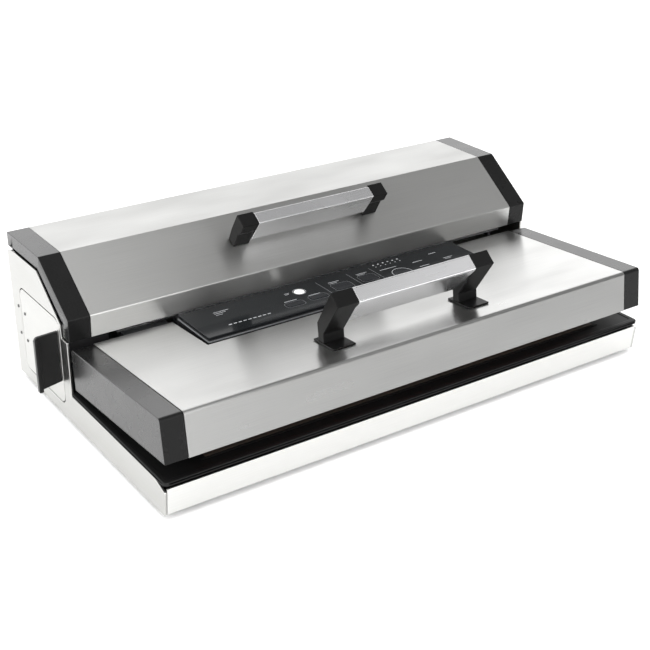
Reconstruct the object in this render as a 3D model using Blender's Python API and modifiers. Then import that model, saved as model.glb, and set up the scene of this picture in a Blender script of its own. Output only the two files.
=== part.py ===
"""Double-lid vacuum sealer with roll store: every separate piece as its own object.

Frame: +X to the right, the front faces -Y, +Z up, metres.  Sections are drawn in two
numbers: "fwd", the distance forward from the back edge, and "up", the height over the
underside of the steel base.
"""

import math

import bmesh
import bpy
from mathutils import Matrix

# ---------------------------------------------------------------- driving dimensions
GAP = 0.0003                    # clearance between pieces that touch
SHEET = 0.0012                  # steel sheet of pans and covers
MOULD = 0.0026                  # wall of the plastic mouldings
SIDE_PLATE = 0.0022             # wall of the steel side plates

BODY_WIDTH = 0.4986             # over the steel side plates
LID_INSET = 0.0015              # lids' ends, in from the side plates' outside
CAP_WIDTH = 0.0196              # black end cap, along X
LEG_WIDTH = 0.0734              # steel of the front lid beside its cut-out

FOOT_HEIGHT = 0.005
FOOT_RADIUS = 0.009
FOOT_INSET = 0.030              # foot centre from the base's edges

BASE_DEPTH = 0.2802             # back edge to the foot of the front wall
BACK_INSET = 0.0012             # base's back wall, in from the back edge
FRONT_FLARE = 0.0022            # how far the front wall's top stands out
SIDE_FLARE = 0.0020             # the same for the side plates' front edge
SIDE_WALL_HEIGHT = 0.0265
FRONT_WALL_DROP = 0.0025        # front wall's top, below the side walls'
NOSE_DROP = 0.0050              # side plate's front corner, below its top
NOSE_DEPTH = 0.0120
TRAY_PLATE = 0.0027             # thickness of the tray's lip
TRAY_OVERHANG = 0.0026          # how far it stands out over the front wall
TRAY_INSET = 0.0002
TRAY_CORNER = 0.004

REAR_TOP = 0.1345               # top of the rear lid
REAR_FLAT = 0.0690              # depth of its flat top
LIP_FWD = 0.1215                # front of its lip
LIP_TOP = 0.0968
LIP_BOTTOM = 0.0771
LIP_LEAN = 0.0011               # how far the lip's foot stands back
BACK_LEAF = 0.0129              # height of the rear lid's back
SKIRT = 0.0120                  # depth of the rear cap's side skirt
SKIRT_GAP = 0.0016              # between the skirt and the side plate
LEDGE_GAP = 0.0012
LEDGE_LEAN = 0.0004
LEDGE_FALL = 0.0020
CUT_PAST = 0.0100               # how far a cutter reaches past what it cuts
REAR_HINGE_FWD = 0.0050
REAR_HINGE_DROP = 0.0075        # rear hinge's axis, below the lid's top
REAR_PIN_RADIUS = 0.0018
REAR_PIN_STOP = 0.0080          # pin's end, in from the cap's outside
REAR_EAR = 0.0040               # width of a rear hinge bracket
REAR_EAR_INSET = 0.0159         # its inner face, in from the end of the steel cover
REAR_EAR_HEIGHT = 0.0320
EAR_WALL = 0.0018               # hinge ear's metal round its pin
EAR_BACK = 0.0022
EAR_NECK = 0.0060
PIN_TAIL = 0.0020
BORE_IN = 0.0037                # bore's ends, past the cap's inner face and the pin's tip
BORE_PAST = 0.0017
NOTCH_SLACK = 0.0010
NOTCH_DEPTH = 0.0030
NOTCH_FOOT = 0.0145             # notch's limits, below the lid's top
NOTCH_TOP = 0.0020
BOSS_DEPTH = (0.0010, 0.0095)
BOSS_DROP = (0.0113, 0.0010)
BOSS_IN = 0.0004
BOSS_LAP = 0.0005
GROOVE_PAST = 0.0060
REAR_LINER = 0.0018
BACK_WALL_DROP = 0.0170         # base's back wall, below the lid's top
BACK_CORNER_DROP = 0.0165       # side plate's back corner, below it
BACK_CORNER = 0.0170
LINER_BACK = 0.0120
LINER_LEAN = 0.0004
LINER_LIFT = 0.0079             # its front foot, over the lip's
LINER_SHORT = 0.0020
BORE_SLACK = 0.00015            # room round a pin, on its radius

STEP_BACK = 0.0031              # raised housing's front, behind the lip's front
LID_CLEAR = 0.0011              # front lid's back, ahead of the lip's front
LID_TOP = 0.0716
LID_FRONT_BACK = 0.0014         # lid's top front edge, behind the front wall's foot
LID_FOOT_AHEAD = 0.0011         # lid's foot, ahead of it
LID_EDGE_RADIUS = 0.0030
LID_HINGE_IN = 0.0029           # front hinge's axis, ahead of the lid's back
LID_HINGE_DROP = 0.0056         # and below its top
LID_PIN_RADIUS = 0.0022
LID_AJAR = math.radians(3.84)   # how far the lid stands open at rest
LID_SWING = 0.0029              # foremost point at rest, ahead of the front wall's foot
HINGE_EAR = 0.0040
HINGE_IN = 0.0155               # front bracket's inner side, from the lid's cut-out
HINGE_OUT = 0.0059              # its outer side, from the end of the steel cover
KNUCKLE_INSET = 0.0130          # knuckle's side, in from the bracket's
KNUCKLE_WALL = 0.0016
KNUCKLE_DEPTH = 0.0160
KNUCKLE_DROP = 0.0010
KNUCKLE_BACK = 0.0026
BRACKET_BACK = 0.0015           # front bracket's back, behind the step's front
BRACKET_LEAF = 0.0025           # thickness of its leaf
BRACKET_LIFT = 0.0035           # its foot, over the tray
NECK_BACK = 0.0050
NECK_DROP = 0.0200
PIN_PROUD = 0.0010
LINER_BACK_GAP = 0.0030
LINER_SIDE_GAP = 0.0005
LINER_FRONT_GAP = 0.0004

POD_IN = 0.0020                 # control housing's back, ahead of the lip's front
POD_DEPTH = 0.0545
POD_RISE = 0.0060               # glossy panel's top, over the lid's
POD_GAP_SIDE = 0.0040           # clearance round the housing in the lid's cut-out
POD_GAP_FRONT = 0.0060
POD_EDGE = 0.0015
PANEL_THICKNESS = 0.0020
PANEL_INSET = 0.0006
PANEL_SET_BACK = 0.0010
BOARD_THICKNESS = 0.0016
BOARD_SIDE_GAP = 0.0205
BOARD_END_GAP = 0.0060

CHAMBER_INSET = 0.0129          # chamber's end, in from the end of the steel cover
CHAMBER_BEHIND = 0.0180         # chamber's back, ahead of the housing
CHAMBER_FLOOR = 0.0130
CHAMBER_ROUND = 0.003
RECESS_HEIGHT = 0.0180          # hollow in the lid's liner over the chamber
RECESS_LAP = 0.0010
GASKET_WIDTH = 0.0070
GASKET_MARGIN = 0.0025          # gasket's inside, out from the chamber
LOWER_GASKET = 0.0023
UPPER_GASKET = 0.0020
GASKET_ROUND = (0.009, 0.004)
BAR_BEHIND = 0.0162             # heater bar's middle, behind the front wall's foot
BAR_AHEAD = 0.0200              # and ahead of the chamber
BAR_SHORT = 0.0050              # heater bar's end, in from the chamber's
BAR_DEPTH = 0.0090
BAR_SUNK = 0.0080
BAR_PROUD = 0.0006
STRIP_DEPTH = 0.0056
STRIP_SHORT = 0.004
PRESSURE_DEPTH = 0.0080
PRESSURE_HEIGHT = 0.0035
PRESSURE_EDGE = 0.0008
WELL_INSET = 0.0035
WELL_GAP = 0.0030
APRON_BACK = 0.0130
APRON_LAP = 0.0005

BRACKET_INNER = 0.0605          # front handle brackets, from the middle
BRACKET_WIDTH = 0.0205
BRACKET_EDGE = 0.0006
FLANGE_BACK = 0.0488            # flange's limits, behind the lid's front edge
FLANGE_FRONT = 0.0198
FLANGE_THICKNESS = 0.0014
FLANGE_SIDE = 0.0008
FRONT_GRIP_ROUND = 0.0012
REAR_BRACKET_INNER = 0.0620
REAR_BRACKET_WIDTH = 0.0160
REAR_GRIP_ROUND = 0.0008

STORE_DEPTH = 0.0399            # cord store, along X
STORE_WALL = 0.0016
STORE_LAP = 0.0004
STORE_BACK = 0.0020             # thickness of its inner wall
TROUGH_INSET = 0.0039           # roll store's right end, in from the steel cover's
TROUGH_BACK = 0.0130
TROUGH_BEHIND = 0.0255          # its front, behind the lip's front
TROUGH_FLOOR = 0.0600
TROUGH_DROP = 0.0225            # its back rim, below the lid's top
TROUGH_WALL_DROP = 0.0285
TROUGH_FRONT_DROP = 0.0071      # its front rim, below the lip's foot
TROUGH_SLOPES = (0.006, 0.012, 0.024)
TROUGH_WALL_BACK = 0.020
TROUGH_END_DROP = 0.0010
TROUGH_END_LAP = 0.0005

RAIL_LIFT = 0.0012              # rail, over the roll store's front rim
RAIL_LAP = 0.0005
RAIL_DEPTH = 0.0180
RAIL_THICKNESS = 0.0014
RAIL_KEY = (0.0065, 0.0115)     # raised middle of the rail
RAIL_HEIGHT = 0.0034
SLIDER_HALF = 0.0140
SLIDER_START = 0.0180           # slider's middle, from the roll store's left end
SLIDER_DEPTH = 0.0160
SLIDER_SLOT = 0.0056
SLIDER_HEIGHT = 0.0095
SLIDER_ROUND = (0.0030, 0.0020)
RAIL_SHORT = 0.0020
BLADE_HALF = 0.0040
BLADE_THICKNESS = 0.0015
BLADE_UP = (0.0022, 0.0082)

DOOR_BACK = 0.0195              # side door of the cord store
DOOR_BEHIND = 0.0170            # its front edge, behind the lip's front
DOOR_FOOT = 0.0110
DOOR_DROP = 0.003234            # its top, under the rear cap's skirt
DOOR_RADIUS = 0.0090
DOOR_SLIT = 0.0007
DOOR_THIN = 0.0006              # door's thickness, less than the side plate's
DOOR_HINGE_IN = 0.0016
DOOR_HINGE_SIDE = 0.0001
GRIP_REACH = 0.0205             # how far the door's grip stands out
GRIP_IN = 0.0045                # grip's middle, behind the door's front edge
GRIP_THICKNESS = 0.0032
GRIP_TOP = 0.0110               # grip's top, below the door's
GRIP_FOOT = 0.0225              # and its foot, above the door's
GRIP_ROUND = 0.0025
GRIP_SLANT = (0.0035, 0.0010)
BEAD_WIDTH = 0.0035
BEAD_THICKNESS = 0.0048
BEAD_PROUD = 0.0003
BEAD_DROP = (0.0055, 0.0035)

KEY_TRAVEL_ROOM = 0.0007
KEY_PROUD = 0.0003
KEY_SLIT = 0.0007
KEY_STEM = 0.0030               # key's length under the panel
KEY_ROUND = 0.0020

WELL_PAST = 0.0010
# Each key's middle x, distance ahead of the housing's back, and radius or (width, depth)
KEYS = {
    "start_key": (-0.0375, 0.0175, 0.0048),
    "program_key": (-0.0545, 0.0370, (0.0170, 0.0075)),
    "seal_key": (-0.0290, 0.0355, (0.0170, 0.0075)),
    "vacuum_key": (0.0020, 0.0285, (0.0180, 0.0120)),
    "pulse_key": (0.0320, 0.0265, (0.0160, 0.0120)),
    "mode_key": (0.0655, 0.0345, 0.0090),
}

PUMP_WIDTH = 0.0440
PUMP_DEPTH = 0.0330
PUMP_FOOT = 0.0040
PUMP_UNDER_TROUGH = 0.0100
PUMP_BEHIND = 0.0184            # pumps' front, behind the raised housing's front
PUMP_SIDE = 0.0469              # left pump's middle, from the cord store
PUMP_PITCH = 0.0750
MOTOR_RADIUS = 0.0185
MOTOR_UP = 0.0260
MOTOR_BACK = 0.0170
MOTOR_LAP = 0.0020
HOSE_RADIUS = 0.0035
HOSE_BEHIND = 0.0114            # hose's run, behind the raised housing's front
TRANSFORMER = (-0.0100, 0.0450, 0.0440)     # left, right and height
TRANSFORMER_BACK = 0.0300
CORE_EDGE = 0.0015
TRANSFORMER_FRONT = 0.0334      # behind the raised housing's front
POWER_BOARD_BACK = 0.0200
POWER_BOARD_FRONT = 0.0234
POWER_BOARD_LIFT = 0.0060
POWER_BOARD_GAPS = (0.0150, 0.0200)
VALVE_WIDTH = 0.0260
VALVE_BACK = 0.0564
VALVE_FRONT = 0.0344
VALVE_TOP = 0.0300
VALVE_SIDE = 0.0511             # valve's right side, from the side plate
INLET_SIDE = 0.0551             # inlet's right side, from the side plate
INLET_WIDTH = 0.0270
INLET_FOOT = 0.0160
INLET_HEIGHT = 0.0200
INLET_DEPTH = 0.0190
INLET_WALL = 0.0030
INLET_FLOOR = 0.0040
INLET_PROUD = 0.0004            # its front, ahead of the back edge
PIN_LOW = -0.0025               # two lower pins, against the inlet's middle
PIN_RISE = 0.0055
PIN_APART = 0.0050
PIN_HALF = (0.001, 0.002)
PIN_TIP = 0.0060

ARC_STEPS = 5                   # straight steps in a rounded corner
ROUND_SIDES = 24
ARC_STEP = 20                   # degrees in one step of a hinge ear's arc

# ---------------------------------------------------------------- sizes that follow
LID_WIDTH = BODY_WIDTH - 2 * LID_INSET
COVER_HALF = LID_WIDTH / 2 - CAP_WIDTH - GAP
POD_WIDTH = 2 * (COVER_HALF - LEG_WIDTH - POD_GAP_SIDE)
NOTCH_HALF = POD_WIDTH / 2 + POD_GAP_SIDE
HINGE_INNER = NOTCH_HALF + HINGE_IN
HINGE_OUTER = COVER_HALF - HINGE_OUT
CHAMBER_WIDTH = 2 * (COVER_HALF - CHAMBER_INSET)
BAR_WIDTH = CHAMBER_WIDTH - 2 * BAR_SHORT
PLATE_INNER = BODY_WIDTH / 2 - SIDE_PLATE
STORE_INNER = -PLATE_INNER + GAP + STORE_DEPTH
TROUGH_LEFT = STORE_INNER + GAP + MOULD
TROUGH_RIGHT = COVER_HALF - TROUGH_INSET

STEP_FWD = LIP_FWD - STEP_BACK
LID_BACK = LIP_FWD + LID_CLEAR
LID_HINGE_FWD = LID_BACK + LID_HINGE_IN
LID_FRONT_TOP = BASE_DEPTH - LID_FRONT_BACK
LID_FRONT_FOOT = BASE_DEPTH + LID_FOOT_AHEAD
POD_BACK = LIP_FWD + POD_IN
POD_FRONT = POD_BACK + POD_DEPTH
NOTCH_FRONT = POD_FRONT + POD_GAP_FRONT
BAR_FWD = BASE_DEPTH - BAR_BEHIND
CHAMBER_BACK = POD_FRONT + CHAMBER_BEHIND
CHAMBER_FRONT = BAR_FWD - BAR_AHEAD
TROUGH_FRONT = LIP_FWD - TROUGH_BEHIND
DOOR_FRONT = LIP_FWD - DOOR_BEHIND

RIM_FOOT = SIDE_WALL_HEIGHT + GAP
TRAY_TOP = RIM_FOOT + TRAY_PLATE
LID_FOOT = TRAY_TOP + LOWER_GASKET + UPPER_GASKET + 3 * GAP
LID_HINGE_UP = LID_TOP - LID_HINGE_DROP
LID_ROOF = LID_TOP - SHEET - GAP
POD_TOP = LID_TOP + POD_RISE
HOUSING_TOP = POD_TOP - PANEL_THICKNESS - GAP
REAR_HINGE_UP = REAR_TOP - REAR_HINGE_DROP
SLOPE_RUN = LIP_FWD - REAR_FLAT
SLOPE_FALL = REAR_TOP - LIP_TOP
SLOPE_LENGTH = math.hypot(SLOPE_RUN, SLOPE_FALL)
DOOR_TOP = (LIP_TOP + DOOR_BEHIND * SLOPE_FALL / SLOPE_RUN
            - SKIRT * SLOPE_LENGTH / SLOPE_RUN - DOOR_DROP)
TROUGH_RIM = REAR_TOP - TROUGH_DROP
TROUGH_FRONT_RIM = LIP_BOTTOM - TROUGH_FRONT_DROP
RAIL_UP = TROUGH_FRONT_RIM + RAIL_LIFT
PUMP_LEFT = STORE_INNER + PUMP_SIDE
PUMP_FRONT = STEP_FWD - PUMP_BEHIND
VALVE_LEFT = PLATE_INNER - VALVE_SIDE - VALVE_WIDTH

# ---------------------------------------------------------------- the frame
REACH_LEFT = BODY_WIDTH / 2 + GRIP_REACH + BEAD_PROUD
REACH_RIGHT = BODY_WIDTH / 2
SHIFT_X = (REACH_LEFT - REACH_RIGHT) / 2
BACK_Y = (BASE_DEPTH + LID_SWING) / 2

PARTS = "vacuum_sealer"
CUTTERS = "vacuum_sealer_cutters"

STEEL = ((0.70, 0.70, 0.69), 0.30, 1.0)
PALE_STEEL = ((0.80, 0.80, 0.78), 0.35, 1.0)
BLACK_PLASTIC = ((0.018, 0.018, 0.019), 0.38, 0.0)
GLOSS_BLACK = ((0.022, 0.023, 0.025), 0.12, 0.0)
RUBBER = ((0.03, 0.03, 0.03), 0.75, 0.0)
FOAM = ((0.05, 0.05, 0.055), 0.85, 0.0)
ALUMINIUM = ((0.82, 0.82, 0.83), 0.28, 1.0)
TAPE = ((0.45, 0.32, 0.18), 0.50, 0.0)
BOARD_GREEN = ((0.03, 0.16, 0.07), 0.45, 0.0)
COPPER = ((0.55, 0.28, 0.14), 0.40, 1.0)
WHITE = ((0.85, 0.85, 0.84), 0.35, 0.0)
SILICONE = ((0.45, 0.10, 0.07), 0.60, 0.0)
HOSE = ((0.75, 0.76, 0.76), 0.40, 0.0)


def clear_scene():
    """Remove every object that the file opened with."""
    for ob in list(bpy.data.objects):
        bpy.data.objects.remove(ob, do_unlink=True)


def collection(name):
    """Return the named collection, made and linked when it is new."""
    group = bpy.data.collections.get(name)
    if group is None:
        group = bpy.data.collections.new(name)
        bpy.context.scene.collection.children.link(group)
    return group


def material(name, look):
    """Make a Principled material from (colour, roughness, metallic)."""
    colour, roughness, metallic = look
    mat = bpy.data.materials.new(name)
    mat.use_nodes = True
    shader = mat.node_tree.nodes["Principled BSDF"]
    shader.inputs["Base Color"].default_value = (*colour, 1.0)
    shader.inputs["Roughness"].default_value = roughness
    shader.inputs["Metallic"].default_value = metallic
    mat.diffuse_color = (*colour, 1.0)
    return mat


def body_empty(name, fwd, up, turn=0.0, x=0.0):
    """An empty on a joint's axis; its children turn with it by `turn` about -X."""
    empty = bpy.data.objects.new(name, None)
    collection(PARTS).objects.link(empty)
    empty.parent = FRAME
    empty.location = (x, BACK_Y - fwd, FOOT_HEIGHT + up)
    empty.rotation_euler = (-turn, 0.0, 0.0)
    return empty


def finish(ob, look, body):
    """Give a piece its material, its collection and the body that it moves with."""
    ob.data.materials.clear()
    ob.data.materials.append(material(ob.name, look))
    collection(PARTS).objects.link(ob)
    ob.parent = body
    if body is not FRAME:
        ob.location = ob.location - body.location
    if ob.type == "MESH":
        ob.data.shade_smooth()
        ob.data.set_sharp_from_angle(angle=math.radians(30))
    return ob


# ---------------------------------------------------------------- shape helpers
SIDE_VIEW = Matrix(((0, 0, -1), (-1, 0, 0), (0, 1, 0)))    # outline in (fwd, up)
PLAN_VIEW = Matrix(((1, 0, 0), (0, -1, 0), (0, 0, -1)))    # outline in (x, fwd)
FRONT_VIEW = Matrix(((1, 0, 0), (0, 0, -1), (0, 1, 0)))    # outline in (x, up)


def rounded(points, radius, corners=None):
    """Outline with its corners (all of them, or those listed) turned into arcs."""
    out = []
    count = len(points)
    for i, (px, py) in enumerate(points):
        if corners is not None and i not in corners:
            out.append((px, py))
            continue
        ax, ay = points[i - 1]
        bx, by = points[(i + 1) % count]
        ua = (ax - px, ay - py)
        ub = (bx - px, by - py)
        la = math.hypot(*ua)
        lb = math.hypot(*ub)
        ua = (ua[0] / la, ua[1] / la)
        ub = (ub[0] / lb, ub[1] / lb)
        half = math.acos(max(-1.0, min(1.0, ua[0] * ub[0] + ua[1] * ub[1]))) / 2
        reach = min(radius / math.tan(half), 0.45 * la, 0.45 * lb)
        r = reach * math.tan(half)
        mid = (ua[0] + ub[0], ua[1] + ub[1])
        lm = math.hypot(*mid)
        far = r / math.sin(half)
        cx = px + mid[0] / lm * far
        cy = py + mid[1] / lm * far
        start = math.atan2(py + ua[1] * reach - cy, px + ua[0] * reach - cx)
        end = math.atan2(py + ub[1] * reach - cy, px + ub[0] * reach - cx)
        sweep = (end - start + math.pi) % (2 * math.pi) - math.pi
        for k in range(ARC_STEPS + 1):
            a = start + sweep * k / ARC_STEPS
            out.append((cx + r * math.cos(a), cy + r * math.sin(a)))
    return out


def box_ring(u0, u1, v0, v1):
    """Rectangle outline."""
    return [(u0, v0), (u1, v0), (u1, v1), (u0, v1)]


def circle(u, v, radius, sides=ROUND_SIDES):
    """Round outline."""
    step = 2 * math.pi / sides
    return [(u + radius * math.cos(step * i), v + radius * math.sin(step * i))
            for i in range(sides)]


def extruded(name, rings, view, low, high):
    """Flat outline (with holes) given its thickness, as a mesh.

    The outline is a filled 2D curve.  low and high bound it along the view's own
    direction: x for a side view, up for a plan view, fwd for a front view.
    """
    curve = bpy.data.curves.new(name, "CURVE")
    curve.dimensions = "2D"
    curve.fill_mode = "BOTH"
    curve.extrude = (high - low) / 2
    for ring in rings:
        spline = curve.splines.new("POLY")
        spline.points.add(len(ring) - 1)
        for point, (u, v) in zip(spline.points, ring):
            point.co = (u, v, 0.0, 1.0)
        spline.use_cyclic_u = True
    middle = (low + high) / 2
    if view is SIDE_VIEW:
        place = (middle, BACK_Y, FOOT_HEIGHT)
    elif view is PLAN_VIEW:
        place = (0.0, BACK_Y, FOOT_HEIGHT + middle)
    else:
        place = (0.0, BACK_Y - middle, FOOT_HEIGHT)
    return meshed(name, curve, Matrix.Translation(place) @ view.to_4x4())


def meshed(name, curve, matrix):
    """Turn curve data into a welded mesh object, with `matrix` put into its points."""
    holder = bpy.data.objects.new(name + "_curve", curve)
    bpy.context.scene.collection.objects.link(holder)
    bpy.context.view_layer.update()
    graph = bpy.context.evaluated_depsgraph_get()
    mesh = bpy.data.meshes.new_from_object(holder.evaluated_get(graph))
    bpy.data.objects.remove(holder, do_unlink=True)
    bm = bmesh.new()
    bm.from_mesh(mesh)
    bmesh.ops.remove_doubles(bm, verts=bm.verts, dist=1e-6)
    bmesh.ops.transform(bm, matrix=matrix, verts=bm.verts)
    bmesh.ops.recalc_face_normals(bm, faces=bm.faces)
    bm.to_mesh(mesh)
    bm.free()
    mesh.name = name
    return bpy.data.objects.new(name, mesh)


def box(name, x0, x1, fwd0, fwd1, up0, up1):
    """Box between limits in x, fwd and up."""
    bm = bmesh.new()
    size = Matrix.Diagonal((x1 - x0, fwd1 - fwd0, up1 - up0, 1.0))
    centre = ((x0 + x1) / 2, BACK_Y - (fwd0 + fwd1) / 2, FOOT_HEIGHT + (up0 + up1) / 2)
    bmesh.ops.create_cube(bm, size=1.0, matrix=Matrix.Translation(centre) @ size)
    mesh = bpy.data.meshes.new(name)
    bm.to_mesh(mesh)
    bm.free()
    return bpy.data.objects.new(name, mesh)


def cylinder(name, axis, centre, radius, length, sides=ROUND_SIDES):
    """Round bar along "X", "Y" or "Z"; centre is (x, fwd, up)."""
    turn = {
        "X": Matrix.Rotation(math.pi / 2, 4, "Y"),
        "Y": Matrix.Rotation(math.pi / 2, 4, "X"),
        "Z": Matrix.Identity(4),
    }[axis]
    x, fwd, up = centre
    place = Matrix.Translation((x, BACK_Y - fwd, FOOT_HEIGHT + up))
    bm = bmesh.new()
    bmesh.ops.create_cone(bm, cap_ends=True, segments=sides, radius1=radius,
                          radius2=radius, depth=length, matrix=place @ turn)
    mesh = bpy.data.meshes.new(name)
    bm.to_mesh(mesh)
    bm.free()
    return bpy.data.objects.new(name, mesh)


def cut(ob, cutter, operation="DIFFERENCE"):
    """Boolean a cutter into a piece, and keep the cutter in its own collection."""
    cutter.name = ob.name + "_cutter"
    cutter.hide_render = True
    cutter.display_type = "WIRE"
    collection(CUTTERS).objects.link(cutter)
    cutter.parent = FRAME
    modifier = ob.modifiers.new("cut", "BOOLEAN")
    modifier.operation = operation
    modifier.solver = "EXACT"
    modifier.object = cutter
    CUTS.append((ob, cutter))
    return ob


def place_cutters():
    """Cutters of a piece on a joint take that joint's empty as parent."""
    for ob, cutter in CUTS:
        if ob.parent is not FRAME:
            cutter.parent = ob.parent
            cutter.location = cutter.location - ob.parent.location


def soften(ob, width, segments=2, angle=40):
    """Round a piece's sharp edges."""
    modifier = ob.modifiers.new("edge", "BEVEL")
    modifier.width = width
    modifier.segments = segments
    modifier.limit_method = "ANGLE"
    modifier.angle_limit = math.radians(angle)
    return ob


def band(points, thickness):
    """Closed outline of a sheet: an open profile and its offset to the right."""
    inner = []
    last = len(points) - 1
    for i, (px, py) in enumerate(points):
        normals = []
        for a, b in ((i - 1, i), (i, i + 1)):
            if a < 0 or b > last:
                continue
            du = points[b][0] - points[a][0]
            dv = points[b][1] - points[a][1]
            length = math.hypot(du, dv)
            normals.append((dv / length, -du / length))
        nx = sum(n[0] for n in normals) / len(normals)
        ny = sum(n[1] for n in normals) / len(normals)
        square = nx * nx + ny * ny
        inner.append((px + nx / square * thickness, py + ny / square * thickness))
    return points + inner[::-1]


def stretched(points, reach):
    """Open profile with both ends drawn out along their own direction."""
    ends = []
    for (ax, ay), (bx, by) in ((points[0], points[1]), (points[-1], points[-2])):
        share = reach / math.hypot(ax - bx, ay - by)
        ends.append((ax + (ax - bx) * share, ay + (ay - by) * share))
    return [ends[0]] + points[1:-1] + [ends[1]]


def ear_arc(fwd, up, radius, first, last):
    """Points of a hinge ear's arc about a pin, between two angles in degrees."""
    return [(fwd + radius * math.cos(math.radians(a)), up + radius * math.sin(math.radians(a)))
            for a in range(first, last, ARC_STEP)]


def rear_profile(depth=0.0):
    """Rear lid's outside, or that drawn in by a depth, from its back foot to its lip's."""
    outer = [
        (0.0, REAR_TOP - BACK_LEAF),
        (0.0, REAR_TOP),
        (REAR_FLAT, REAR_TOP),
        (LIP_FWD, LIP_TOP),
        (LIP_FWD - LIP_LEAN, LIP_BOTTOM),
    ]
    if depth == 0.0:
        return outer
    ring = band(outer, depth)
    return ring[len(outer):][::-1]


# ---------------------------------------------------------------- base
def base_pan():
    """Steel floor with the front and back walls, one folded sheet."""
    half = PLATE_INNER - GAP
    profile = [
        (BASE_DEPTH + FRONT_FLARE, SIDE_WALL_HEIGHT - FRONT_WALL_DROP),
        (BASE_DEPTH, 0.0),
        (BACK_INSET, 0.0),
        (BACK_INSET, REAR_TOP - BACK_WALL_DROP),
    ]
    ring = band(profile, SHEET)
    ob = extruded("base_pan", [ring], SIDE_VIEW, -half, half)
    right = PLATE_INNER - INLET_SIDE
    inlet = box("inlet_hole", right - INLET_WIDTH, right, -CUT_PAST, BACK_INSET + CUT_PAST,
                INLET_FOOT, INLET_FOOT + INLET_HEIGHT)
    cut(ob, inlet)
    return finish(ob, PALE_STEEL, FRAME)


def side_outline():
    """Side plate: low in front, stepped up under the rear lid's skirt."""
    inner = rear_profile(SKIRT + SKIRT_GAP)
    ledge = LIP_BOTTOM - LEDGE_GAP
    return [
        (BACK_INSET, 0.0),
        (BASE_DEPTH, 0.0),
        (BASE_DEPTH + SIDE_FLARE, SIDE_WALL_HEIGHT - NOSE_DROP),
        (BASE_DEPTH - NOSE_DEPTH, SIDE_WALL_HEIGHT),
        (STEP_FWD, SIDE_WALL_HEIGHT),
        (STEP_FWD, ledge),
        (inner[4][0] + LEDGE_LEAN, ledge),
        (inner[3][0] - LEDGE_LEAN, inner[3][1] - LEDGE_FALL),
        (inner[2][0], inner[2][1]),
        (BACK_CORNER, inner[1][1]),
        (BACK_INSET, REAR_TOP - BACK_CORNER_DROP),
    ]


def side_plates():
    """Left plate with the door's opening, and the plain right plate."""
    outer = BODY_WIDTH / 2
    left = extruded("side_plate_left", [side_outline(), door_outline(0.0)], SIDE_VIEW,
                    -outer, -outer + SIDE_PLATE)
    finish(left, PALE_STEEL, FRAME)
    right = extruded("side_plate_right", [side_outline()], SIDE_VIEW,
                     outer - SIDE_PLATE, outer)
    finish(right, PALE_STEEL, FRAME)


def feet():
    """Four round rubber feet, tapered downwards."""
    x = BODY_WIDTH / 2 - FOOT_INSET
    spots = {
        "foot_rear_left": (-x, FOOT_INSET),
        "foot_rear_right": (x, FOOT_INSET),
        "foot_front_left": (-x, BASE_DEPTH - FOOT_INSET),
        "foot_front_right": (x, BASE_DEPTH - FOOT_INSET),
    }
    for name, (fx, fwd) in spots.items():
        height = FOOT_HEIGHT - GAP
        foot = cylinder(name, "Z", (fx, fwd, -GAP - height / 2), FOOT_RADIUS, height)
        finish(foot, RUBBER, FRAME)


def chamber_tray():
    """Black tray with a rim all round and the vacuum chamber's trough."""
    half = BODY_WIDTH / 2 - TRAY_INSET
    back = STEP_FWD + 2 * GAP
    plate = rounded(box_ring(-half, half, back, BASE_DEPTH + TRAY_OVERHANG),
                    TRAY_CORNER, corners={2, 3})
    ob = extruded("chamber_tray", [plate], PLAN_VIEW, RIM_FOOT, TRAY_TOP)
    tub = PLATE_INNER - GAP - WELL_INSET
    well_back = back + WELL_GAP
    well = box("tray_well", -tub, tub, well_back, BASE_DEPTH - SHEET - WELL_GAP,
               CHAMBER_FLOOR - MOULD, RIM_FOOT + TRAY_PLATE / 2)
    cut(ob, well, "UNION")
    chamber = box("chamber", -CHAMBER_WIDTH / 2, CHAMBER_WIDTH / 2, CHAMBER_BACK,
                  CHAMBER_FRONT, CHAMBER_FLOOR, TRAY_TOP + CUT_PAST)
    cut(ob, soften(chamber, CHAMBER_ROUND, 2))
    slot = box("bar_slot", -BAR_WIDTH / 2 - GAP, BAR_WIDTH / 2 + GAP,
               BAR_FWD - BAR_DEPTH / 2 - GAP,
               BAR_FWD + BAR_DEPTH / 2 + GAP, TRAY_TOP - BAR_SUNK, TRAY_TOP + CUT_PAST)
    cut(ob, slot)
    hollow = box("tray_hollow", -tub + MOULD, tub - MOULD, well_back + MOULD,
                 CHAMBER_BACK - MOULD, CHAMBER_FLOOR - 2 * MOULD, TRAY_TOP - MOULD)
    cut(ob, hollow)
    return finish(ob, BLACK_PLASTIC, FRAME)


def gasket_rings():
    """Outer and inner outlines of the foam ring round the chamber."""
    u = CHAMBER_WIDTH / 2 + GASKET_MARGIN
    back = CHAMBER_BACK - GASKET_MARGIN
    front = CHAMBER_FRONT + GASKET_MARGIN
    w = GASKET_WIDTH
    outer = rounded(box_ring(-u - w, u + w, back - w, front + w), GASKET_ROUND[0])
    inner = rounded(box_ring(-u, u, back, front), GASKET_ROUND[1])
    return [outer, inner]


def lower_gasket():
    """Foam ring on the tray, round the chamber."""
    low = TRAY_TOP + GAP
    ob = extruded("lower_gasket", gasket_rings(), PLAN_VIEW, low, low + LOWER_GASKET)
    return finish(ob, FOAM, FRAME)


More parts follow.
